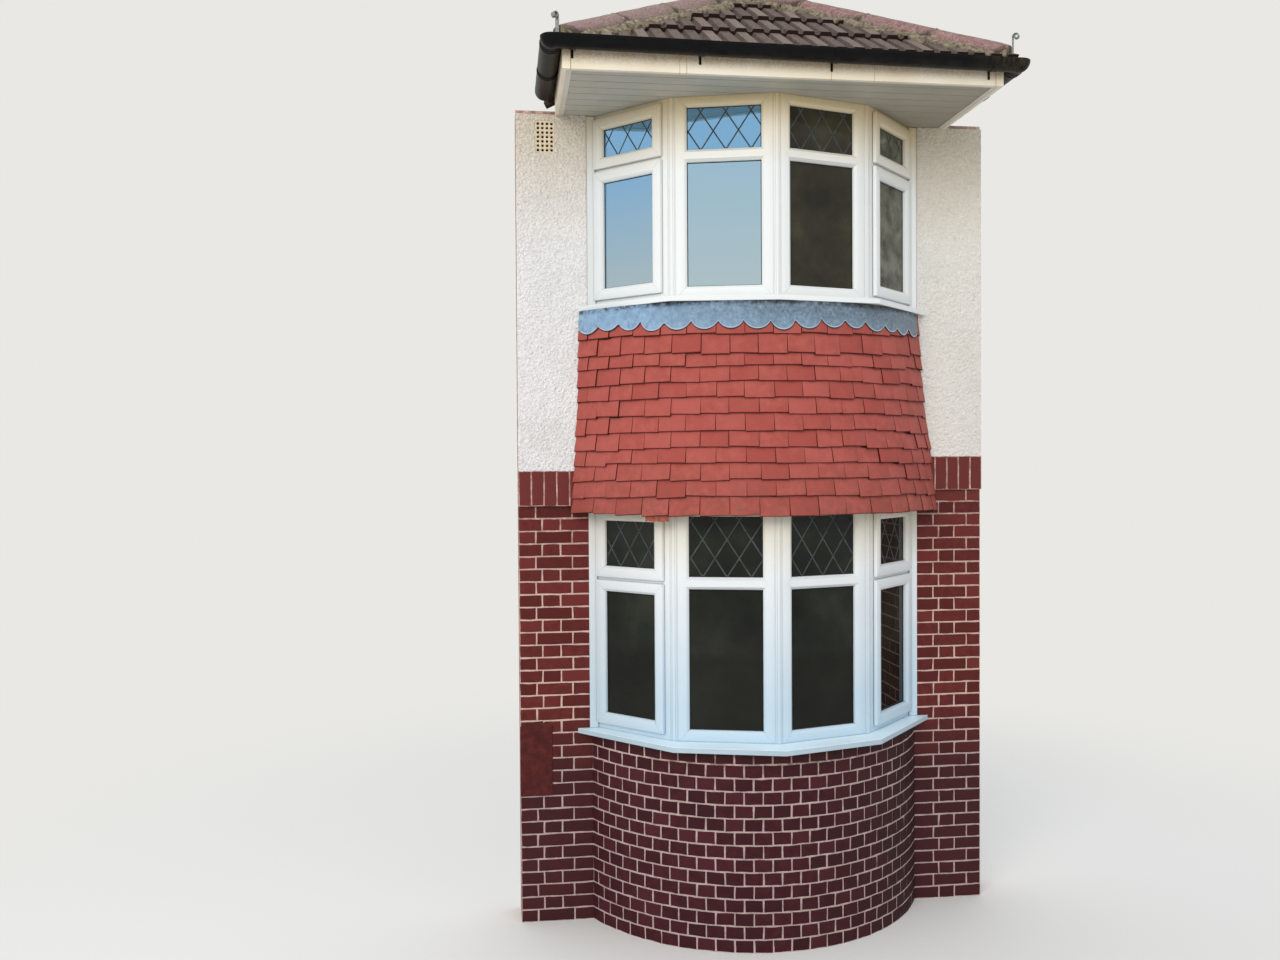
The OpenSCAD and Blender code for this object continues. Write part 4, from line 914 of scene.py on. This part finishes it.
# Painted light on the skirt: a dark band at the top as painted shadow under the sill, a pale lower rim as a
# painted highlight, and a near black edge and underside as painted shadow.
weather(lead_paint,
        ("#262d33", "Z", 3.590, 3.608, 0.95, 0.03),
        ("#a9bfd2", "shade", 0.7, 1.0),
        ("#2a1618", "shade", 1.15, 1.4))
cusps = np.radians([-56.4, -49.05, -42.4, -35.85, -29.35, -22.35, -15.45, -9.05, -2.2, 4.15, 11.4, 18.45,
                    25.3, 33.0, 38.55, 44.8, 52.85])
cusp_z = np.array([3.520, 3.518, 3.525, 3.529, 3.516, 3.518, 3.511, 3.514, 3.512, 3.520, 3.527, 3.531, 3.530,
                   3.518, 3.511, 3.520, 3.522])
scallop_z = np.array([3.480, 3.488, 3.480, 3.468, 3.468, 3.467, 3.470, 3.466, 3.461, 3.470, 3.480, 3.483,
                      3.475, 3.480, 3.473, 3.477])
skirt_gap, skirt_top, skirt_round, skirt_thick = 0.0185, 3.6205, 1.262, 0.003
scallops = len(scallop_z)
turn = np.linspace(cusps[0], cusps[-1], scallops * 14 + 1)
scallop = np.clip(np.searchsorted(cusps, turn, side="right") - 1, 0, scallops - 1)
share = (turn - cusps[scallop]) / (cusps[scallop + 1] - cusps[scallop])
half_chord = skirt_round * (cusps[scallop + 1] - cusps[scallop]) / 2
cusp_height = cusp_z[scallop] * (1 - share) + cusp_z[scallop + 1] * share
sag = np.minimum(cusp_height - scallop_z[scallop], half_chord * 0.98)
arc = (half_chord ** 2 + sag ** 2) / (2 * sag)
lower = cusp_height - sag + arc - np.sqrt(arc ** 2 - ((2 * share - 1) * half_chord) ** 2)
up_share = np.array([0, 0.02, 0.08, 0.2, 0.35, 0.5, 0.65, 0.8, 0.92, 1.0])[:, None]
height = lower + (skirt_top - lower) * up_share
radius = course_line(np.full(turn.shape, 11), turn)[0] + 0.0045 - 0.065 * (height - 3.46)
random = np.random.default_rng(53)
crease = even_noise(random, height.shape, 3) * 0.0009 * (1 - up_share)
lifted = 0.0025 * (1 - up_share) ** 6 - 0.0016 * np.abs(2 * share - 1) ** 8 * (1 - up_share)
radius = radius + crease + lifted
front = before_wall(ring_point(turn, radius, height), skirt_gap)
back = before_wall(ring_point(turn, radius - skirt_thick, height), skirt_gap)
# The back's lowest row drops 6.5 mm, so the edge shows a dark band of painted shadow; the shade values give
# the front's two lowest rows the painted highlight and the back the painted shadow.
back[0] -= [0, 0, 0.0065]
shade = np.zeros((2, *height.shape))
shade[0, :2] = 1.0
shade[1] = 2.0
put("lead_skirt", [skins(front[None], back[None])], lead_paint, "scalloped_skirt", smooth=50,
    shade=shade)

# Soffit: grey plastic boards 100 mm wide, tongued together and running along the front, with pale
# trims that cover their ends at the fascias. Dirt makes the lines between the boards dark.
soffit_plastic = finish("aged_soffit_board", ["#adab9f", "#b6b4a9", "#bfbdb3"], 0.4, 0.5, 0.03, 0.0003)
stain(soffit_plastic, "#8b8270", fade(soffit_plastic, "X", 0.0, 1.2, 0.7))
tree = soffit_plastic.node_tree
from_line = add(tree, "Math", {0: tree.nodes["spot"].outputs["Y"], 1: 0.05}, operation="PINGPONG").outputs[0]
line_mask = add(tree, "MapRange", {"Value": from_line, "From Min": 0.0035, "From Max": 0.0025}).outputs[0]
stain(soffit_plastic, "#9d998b", line_mask)
paint(soffit_plastic, "soffit")
trim_plastic = finish("soffit_trim", ["#cfcabe", "#dad6ca"], 0.2, 0.45, 0.03, 0.0003)
eaves_half, eaves_reach, soffit_z = 1.1800, 0.7702, 4.7728
trim_end, trim_back = 1.149, -0.0156
trim_outline = [(0, 0), (0, -0.0028), (0.0008, -0.0036), (0.0992, -0.0036), (0.1, -0.0028), (0.1, 0)]
across, down = np.array(trim_outline).T
level = 0 * across
front_edge = np.stack([level, -eaves_reach + 0.16 * across, soffit_z + down], -1)
side_edge = np.stack([-eaves_half + 0.3 * across, level, soffit_z + down], -1)
trims = [rod(front_edge + [-trim_end, 0, 0], front_edge + [trim_end, 0, 0])]
for edge in (side_edge, side_edge * [-1, 1, 1]):
    trims.append(rod(edge + [0, -eaves_reach, 0], edge + [0, trim_back, 0]))
put("soffit_trims", trims, trim_plastic)

# Fascias: cream plastic boards on three sides, with moulded covers over both front corners and two
# butt joints. They are darker under the gutter, as grime and painted shadow of the gutter, with runs
# of dirt, and cleaner along the foot.
fascia_plastic = finish("cream_fascia_board", ["#ece0c6", "#f1e7d0", "#f6eedb"], 0.3, 0.42, 0.03, 0.0003)
# Tan towards the top as grime and painted shadow of the gutter, then runs of dirt and dirt specks.
weather(fascia_plastic,
        ("#dfbf8f", "Z", 4.79, 4.87, 0.75, 0.10, 1.6),
        ("#a9804f", "Z", 4.80, 4.90, 0.4, 0.03, 5.0),
        ("#7a5a3a", "Z", 4.785, 4.88, 0.6, 0.0065))
tree = fascia_plastic.node_tree
spot = tree.nodes["spot"].outputs["X"]
# Thin dark lines at the edges of the covers and at the joints: dirt and painted shadow gaps.
for line_x, code in [(-1.158, "#8d7350"), (1.158, "#8d7350"), (-0.5865, "#c4ab82"), (-0.5495, "#c4ab82"),
                     (0.234, "#b59a70"), (0.4720, "#c4ab82")]:
    line = add(tree, "Math", {0: spot, 1: line_x, 2: 0.0015}, operation="COMPARE").outputs[0]
    stain(fascia_plastic, code, line)
bevelled("fascias_rounded", "fascias", 0.0025, fascia_plastic)
corner_cover = np.array([(-1.2016, -0.7919), (-1.1606, -0.7919), (-1.1600, -0.7911), (-1.1600, -0.7902),
                         (-1.1999, -0.7902), (-1.1999, -0.7500), (-1.2009, -0.7500), (-1.2016, -0.7506)])
joint_cover = np.array([(-0.0165, -0.7902), (-0.0165, -0.7912), (-0.0159, -0.7918), (0.0159, -0.7918),
                        (0.0165, -0.7912), (0.0165, -0.7902)])
plans = [corner_cover, corner_cover * [-1, 1], joint_cover + [-0.568, 0], joint_cover * [0.5, 1] + [0.462, 0]]
covers = [rod(*(np.column_stack([plan, np.full(len(plan), z)]) for z in (4.7675, 4.9165))) for plan in plans]
put("fascia_covers", covers, fascia_plastic)

# Gutter: black plastic half-rounds, 112 mm wide, clipped into corner pieces and unions. Each length
# has a rolled bead along its outer rim, and each union and corner has ribs round its ends.
gutter_plastic = finish("black_gutter_plastic", ["#040506", "#070809", "#0b0c0d"], 0.08, 0.4, 0.02, 0.0004,
                        Specular_IOR_Level=0.15)
# Browner low on the gutter, as dust and a painted reflection of the fascia, with brown streaks at the right
# end.
weather(gutter_plastic,
        ("#2b2620", "Z", 4.862, 4.835, 0.6, 0.06),
        ("#4a4233", "X", 0.95, 1.25, 0.5, 0.02, 3.0))
paint(gutter_plastic, "gutter", "gutter_brackets")
gutter_half, gutter_reach, gutter_round = 1.26005, 0.8503, 0.056


def rim_height(x):
    """Height of the gutter's rim: the front length falls 24 mm from left to right."""
    return 4.893 - 0.012 * x / gutter_half


def swept(path, side, up, outline):
    """A closed bar: an outline of (side, up) pairs, carried along a path of points."""
    points = path[:, None, :] + outline[:, :1] * side[:, None, :] + outline[:, 1:] * up[:, None, :]
    return tubes(points[None])


bend = np.linspace(0, np.pi / 2, 9)[1:-1]
bead_at = gutter_round - 0.0028
left_curve = np.stack([-gutter_half - bead_at * np.cos(bend), -gutter_reach - bead_at * np.sin(bend)], -1)
bead_half, bead_back = gutter_half + bead_at, -0.02
run = np.stack([np.linspace(-gutter_half, gutter_half, 9), np.full(9, -gutter_reach - bead_at)], -1)
plan = np.concatenate([[[-bead_half, bead_back], [-bead_half, -gutter_reach]], left_curve, run,
                       left_curve[::-1] * [-1, 1], [[bead_half, -gutter_reach], [bead_half, bead_back]]])
path = np.column_stack([plan, rim_height(np.clip(plan[:, 0], -gutter_half, gutter_half))])
heading = np.gradient(plan, axis=0)
heading /= np.linalg.norm(heading, axis=1)[:, None]
outward = np.column_stack([heading[:, 1], -heading[:, 0], 0 * heading[:, 0]])
turn = np.linspace(0, 2 * np.pi, 9)[:-1]
bead = 0.0034 * np.stack([np.cos(turn), np.sin(turn)], -1)
rolls = [swept(path, outward, np.tile([0.0, 0.0, 1.0], (len(path), 1)), bead)]

turn = np.linspace(np.pi, 2 * np.pi, 25)[:, None]
rib = np.array([(-0.0028, 0.0005), (-0.0024, 0.0025), (-0.0014, 0.0033), (0.0014, 0.0033), (0.0024, 0.0025),
                (0.0028, 0.0005)])
ribs = [(x, -gutter_reach, [1, 0, 0]) for x in (-1.166, -1.136, -0.492, -0.466, 0.221, 0.247, 1.102, 1.128)]
ribs += [(x, y, [0, 1, 0]) for x in (-gutter_half, gutter_half) for y in (-0.795, -0.765, -0.40, -0.37)]
for x, y, run in ribs:
    out = np.cos(turn) * [run[1], run[0], 0] + np.sin(turn) * [0, 0, 1]
    rolls.append(swept([x, y, rim_height(x)] + gutter_round * out, np.tile(run, (25, 1)), out, rib))
put("gutter_beads", rolls, gutter_plastic, smooth=50)

# Roof tiles: brown concrete interlocking tiles, each with two flat-topped ribs and a cover of
# 191 mm, in four lapped courses on battens. Their thick lower edges are painted nearly black, as
# shade with moss; the rib tops are painted lighter as painted light, and the pans darker as dirt and
# painted shade.
roof_tile = finish("weathered_concrete_tile", ["#4c3d39", "#594945", "#665652"], 0.05, 0.85, 0.004, 0.0016,
                   Specular_IOR_Level=0.25)
# Painted light and shade by the shade values: rib tops lighter, pans darker, lower edges near black; then
# pale lichen and dark spots.
weather(roof_tile,
        ("#93837a", "shade", 0.5, 1.0),
        ("#3d2f2b", "shade", 0.4, 0.05),
        ("#a3968c", "Z", 4.0, 4.1, 0.4, 0.008, 4.0),
        ("#3d302c", "Z", 4.0, 4.1, 0.35, 0.006, 3.0),
        ("#2c1c19", "shade", 1.2, 1.6))
eaves_z, roof_half, roof_reach, front_run, rise = 4.908, 1.25005, 0.8603, 1.0903, 0.730
cover, roof_tile_thick, roof_courses = 0.191, 0.0195, 4
rib_at = np.array([0.0, 0.009, 0.0115, 0.0185, 0.0215, 0.0735, 0.0765, 0.0835, 0.0865])
rib_up = np.array([0.0, 0.0, 0.0012, 0.0168, 0.018, 0.018, 0.0168, 0.0012, 0.0])
# Tone across a tile: high on the rib tops for painted light, low in the pans for dirt and painted shade.
rib_tone = np.array([0.1, 0.12, 0.2, 0.3, 0.9, 1.0, 0.5, 0.3, 0.12])


def cut(piece, planes):
    """Cuts a piece by planes, each a point and the direction of the side that goes, and caps it."""
    work = bmesh.new()
    work.from_mesh(piece.data)
    for point, outside in planes:
        bmesh.ops.bisect_plane(work, geom=work.verts[:] + work.edges[:] + work.faces[:], plane_co=point,
                               plane_no=outside, clear_outer=True)
        caps = bmesh.ops.holes_fill(work, edges=[edge for edge in work.edges if edge.is_boundary], sides=0)
        for cap in caps["faces"]:
            cap.smooth = False
            for edge in cap.edges:
                edge.smooth = False
    work.to_mesh(piece.data)
    work.free()


def tile_slope(name, foot, along, inward, run, low, high, keep, node, seed):
    """One slope of lapped tiles, cut by vertical planes.

    A point at a distance along the eaves, a distance in plan up the slope and a height off it is
    foot + distance * along + plan * (inward + pitch * up) + height * normal.
    """
    foot, along, inward = (np.array(value, float) for value in (foot, along, inward))
    pitch = rise / run
    up_slope = inward + [0, 0, pitch]
    normal = unit([0, 0, 1] - pitch * inward)
    random = np.random.default_rng(seed)
    gauge = run / roof_courses
    starts = np.arange(low, high, cover)
    start, course_no = (part.ravel() for part in np.meshgrid(starts, np.arange(roof_courses)))
    count = len(start)
    columns = np.concatenate([rib_at, rib_at + cover / 2, [0.1896]])
    profile = np.concatenate([rib_up, rib_up, [0.0]])
    tone = np.concatenate([rib_tone, rib_tone, [0.1]])
    second = np.arange(19) > 8
    rows = np.array([0.0, 0.0025, 0.33, 0.66, 1.17]) * gauge
    step = 0.0225 * rows / gauge + 0.009
    sag = np.where(rows < 0.001, -0.0012, 0.0)
    distance = start[:, None, None] + columns[None, None, :] + random.normal(0, 0.0008, (count, 1, 1))
    plan = (course_no * gauge)[:, None, None] + rows[None, :, None] + random.normal(0, 0.0016, (count, 1, 1))
    height = (profile[None, None, :] + (sag - step)[None, :, None] + random.normal(0, 0.0007, (count, 1, 1))
              + random.normal(0, 0.004, (count, 1, 1)) * (columns - 0.095)[None, None, :])
    distance, plan, height = np.broadcast_arrays(distance, plan, height)
    top = foot + distance[..., None] * along + plan[..., None] * up_slope + height[..., None] * normal
    lift = random.uniform(0.55, 0.95, (count, 1)) * np.where(second, 0.45, 1.0)[None, :]
    shade = np.broadcast_to((tone[None, :] * lift)[:, None, :], height.shape).copy()
    # Painted shade: the lowest row of the top and the front row of the underside paint the lower edges near
    # black; the rest of the underside is painted dark.
    shade[:, 0, :] = 2.0
    under = np.where(np.arange(5)[None, :, None] == 0, 2.0, 0.1) + 0 * shade
    piece = put(name, [skins(top, top - roof_tile_thick * normal)], roof_tile, node, smooth=30,
                shade=np.stack([shade, under], 1))
    cut(piece, keep)


hip_foot = np.array([[-roof_half, -roof_reach, eaves_z], [roof_half, -roof_reach, eaves_z]])
left_out = np.array([-front_run, roof_half, 0.0]) / np.hypot(front_run, roof_half)
right_out = left_out * [-1, 1, 1]
wall_back = 0.2296
party = ((0, wall_back, 0), (0, 1, 0))
tile_slope("front_roof_tiles", (0, -roof_reach, eaves_z), (1, 0, 0), (0, 1, 0), front_run, -1.4032, 1.4,
           [(hip_foot[0], left_out), (hip_foot[1], right_out), party], "roof_front", 61)
tile_slope("right_roof_tiles", (roof_half, 0, eaves_z), (0, 1, 0), (-1, 0, 0), roof_half, -1.0, 0.24,
           [(hip_foot[1], -right_out), party], "roof_sides", 67)
tile_slope("left_roof_tiles", (-roof_half, 0, eaves_z), (0, 1, 0), (1, 0, 0), roof_half, -1.0, 0.24,
           [(hip_foot[0], -left_out), party], "roof_sides", 71)

# Roof felt: under the tiles lies black bitumen felt on battens, one layer to each slope, up to the
# hips and the wall. It closes what shows between the tiles.
felt = finish("bitumen_felt", ["#1d1b19", "#282522"], 0.1, 0.9, 0.004, 0.0006)
inside_y = 0.7699
inside_x = roof_half * (1 - (roof_reach - inside_y) / front_run)
layers = []
for corners in ([(-inside_x, -inside_y), (inside_x, -inside_y), (0, wall_back)],
                [(inside_x, -inside_y), (inside_x, wall_back), (0, wall_back)],
                [(-inside_x, -inside_y), (-inside_x, wall_back), (0, wall_back)]):
    x, y = np.array(corners).T
    share = np.minimum((y + roof_reach) / front_run, (roof_half - np.abs(x)) / roof_half)
    top_side = np.stack([x, y, eaves_z + rise * share - 0.045], 1)
    layers.append(rod(top_side, top_side - [0, 0, 0.014]))
put("roof_felt", layers, felt)

# Hips: half-round clay tiles, four to a hip, bedded and pointed in mortar that spreads over the cut
# tiles on both sides. Lichen has spotted the mortar, and the clay has gone a dull pink.
hip_clay = finish("dull_pink_clay", ["#74504c", "#8e645f", "#a67e79"], 0.03, 0.8, 0.003, 0.0016)
weather(hip_clay,
        ("#95807b", "X", 0.2, -0.5, 0.55),
        ("#cbb5af", "Z", 4.0, 4.1, 0.42, 0.012),
        ("#4b3f3a", "Z", 4.0, 4.1, 0.45, 0.009),
        ("#4d403a", "shade", 0.45, 0.9))
mortar = finish("lichened_mortar", ["#3a3029", "#65574a", "#8d7f6e"], 0.02, 0.95, 0.006, 0.006)
weather(mortar,
        ("#cdc0a2", "Z", 4.0, 4.1, 0.75, 0.022),
        ("#2f2620", "Z", 4.0, 4.1, 0.6, 0.011))
hip_tile_parts, hip_shades, mortar_parts, plug_parts = [], [], [], []
foot_gap, bedded, hip_courses = 0.058, 0.042, 4
hip_round, hip_thick, joint_round, plug_round = 0.0865, 0.014, 0.0835, 0.076
for side, foot in zip((-1, 1), hip_foot):
    random = np.random.default_rng(83 + side)
    apex = np.array([0, 0.23, eaves_z + rise])
    axis = apex - foot
    hip_length = np.linalg.norm(axis)
    axis /= hip_length
    flat = np.array([-axis[1], axis[0], 0]) / np.hypot(axis[0], axis[1])
    over = np.cross(axis, flat)
    over *= np.sign(over[2])
    tile_length = (hip_length - foot_gap) / hip_courses
    turn = np.radians(np.linspace(-104, 104, 23))
    for number in range(hip_courses):
        rows = np.array([0.004, 0.008, 0.12, 0.3, 0.5, 0.7, 0.88, 0.985, 0.992]) * tile_length
        wander = random.normal(0, 0.0012, (1, len(rows), 23))
        radius = hip_round - 0.002 * rows[None, :, None] / tile_length + wander + random.normal(0, 0.001)
        radius = radius - np.where((rows < 0.006) | (rows > 0.99 * tile_length), 0.002, 0.0)[None, :, None]
        centre = (foot + (foot_gap + number * tile_length + rows)[:, None] * axis - bedded * over
                  + random.normal(0, 0.0015) * flat)
        ring = np.sin(turn)[None, None, :, None] * flat + np.cos(turn)[None, None, :, None] * over
        outer = centre[None, :, None, :] + radius[..., None] * ring
        inner = centre[None, :, None, :] + (radius[..., None] - hip_thick) * ring
        hip_tile_parts.append(skins(outer, inner))
        dirt = np.abs(turn) / turn[-1] + 0.5 * np.exp(-rows[:, None] / 0.05) + random.uniform(-0.15, 0.1)
        hip_shades += [dirt.ravel() ** 2] * 2
        joint_rows = np.linspace(-0.008, 0.008, 5)
        bulge = joint_round + 0.0035 * np.cos(joint_rows / 0.008 * 1.5)[:, None]
        bulge = (bulge + random.normal(0, 0.0014, (5, 23)))[None, ..., None]
        seat = foot + (foot_gap + (number + 1) * tile_length + joint_rows)[:, None] * axis - bedded * over
        seat = seat[None, :, None, :]
        if number < hip_courses - 1:
            mortar_parts.append(skins(seat + bulge * ring, seat + (bulge - 0.012) * ring))
    spokes = np.linspace(0.03, 1.0, 9)[None, :, None]
    plug_turn = np.radians(np.linspace(-165, 165, 37))[None, None, :, None]
    hollow = (random.normal(0, 0.0022, (1, 9, 37)) - 0.016 * (1 - spokes ** 2)) * (spokes < 1)
    disc = (foot + (foot_gap + 0.003) * axis - bedded * over + hollow[..., None] * axis
            + plug_round * spokes[..., None] * (np.sin(plug_turn) * flat + np.cos(plug_turn) * over))
    disc[..., 2] = np.maximum(disc[..., 2], eaves_z - 0.014)
    plug_parts.append(skins(disc, disc + 0.03 * axis))
    for flank in (-1, 1):
        outward = flank * flat
        inward_run = np.array([0, 1.0, 0]) if outward[1] < 0 else np.array([-side * 1.0, 0, 0])
        pitch = rise / front_run if outward[1] < 0 else rise / roof_half
        normal = unit([0, 0, 1] - pitch * inward_run)
        away = outward - (outward @ normal) * normal
        away = unit(away - (away @ axis) * axis)
        steps = np.linspace(0.02, hip_length - 0.08, 150)
        spread = 0.142 + 0.020 * np.clip(even_noise(random, (150, 3), 2)[:, 0], -1.6, 1.6)
        share = np.linspace(0, 1, 8)
        reach = 0.05 + (spread[:, None] - 0.05) * share[None, :]
        lump = even_noise(random, (150, 8), 1) * 0.004 + random.normal(0, 0.001, (150, 8))
        thick = 0.013 * np.sqrt(1 - share ** 3)[None, :] + 0.001 + lump
        base = foot + steps[:, None, None] * axis + reach[..., None] * away
        mortar_parts.append(skins((base + thick[..., None] * normal)[None], (base - 0.02 * normal)[None]))
hips = put("hip_tile_shells", hip_tile_parts, hip_clay, "hip_tiles", smooth=50,
           shade=np.concatenate(hip_shades))
bedding = put("hip_mortar", mortar_parts, mortar, smooth=60)
plugs = put("hip_end_mortar", plug_parts, mortar, smooth=60)
for piece, inset in ((hips, 0.002), (bedding, 0.005), (plugs, 0.008)):
    cut(piece, [((0, wall_back + 0.002 - inset, 0), (0, 1, 0)), ((0, -roof_reach + inset, 0), (0, -1, 0)),
                ((roof_half - inset, 0, 0), (1, 0, 0)), ((-roof_half + inset, 0, 0), (-1, 0, 0))])

# Hip irons: galvanised steel straps screwed to the feet of the hips to hold the hip tiles up. Each
# stands 27 mm in from the corner of the eaves and curls outwards at the top in a tight scroll.
zinc = finish("galvanised_strap", ["#84888a", "#9ca0a1", "#b4b8b8"], 0.012, 0.42, 0.004, 0.0004, Metallic=0.7)
stain(zinc, "#7a5a40", fade(zinc, "Z", 4.96, 4.90, 0.5, 0.012))
curl = np.linspace(0, 1, 40)[1:]
curl_turn = np.radians(400) * curl
curl_round = 0.0175 - 0.0095 * curl
stem_in, stem_foot, stem_top = 0.0275, 4.897, 5.014
reach_in = np.concatenate([np.full(8, stem_in), stem_in - 0.0175 + curl_round * np.cos(curl_turn)])
height = np.concatenate([np.linspace(stem_foot, stem_top, 8), stem_top + curl_round * np.sin(curl_turn)])
slope_in, slope_up = np.gradient(reach_in), np.gradient(height)
size = np.hypot(slope_in, slope_up)
strap = np.array([(-0.012, -0.0017), (-0.0112, -0.0025), (0.0112, -0.0025), (0.012, -0.0017), (0.012, 0.0017),
                  (0.0112, 0.0025), (-0.0112, 0.0025), (-0.012, 0.0017)])
irons = []
for side, foot in zip((-1, 1), hip_foot):
    inward = np.array([-side * roof_half, front_run, 0]) / np.hypot(roof_half, front_run)
    path = foot * [1, 1, 0] + reach_in[:, None] * inward + height[:, None] * [0, 0, 1]
    face = (slope_up / size)[:, None] * inward - (slope_in / size)[:, None] * [0, 0, 1]
    wide = np.tile([-inward[1], inward[0], 0], (len(path), 1))
    irons.append(swept(path, wide, face, strap))
put("scrolled_hip_irons", irons, zinc, "hip_irons", smooth=50)
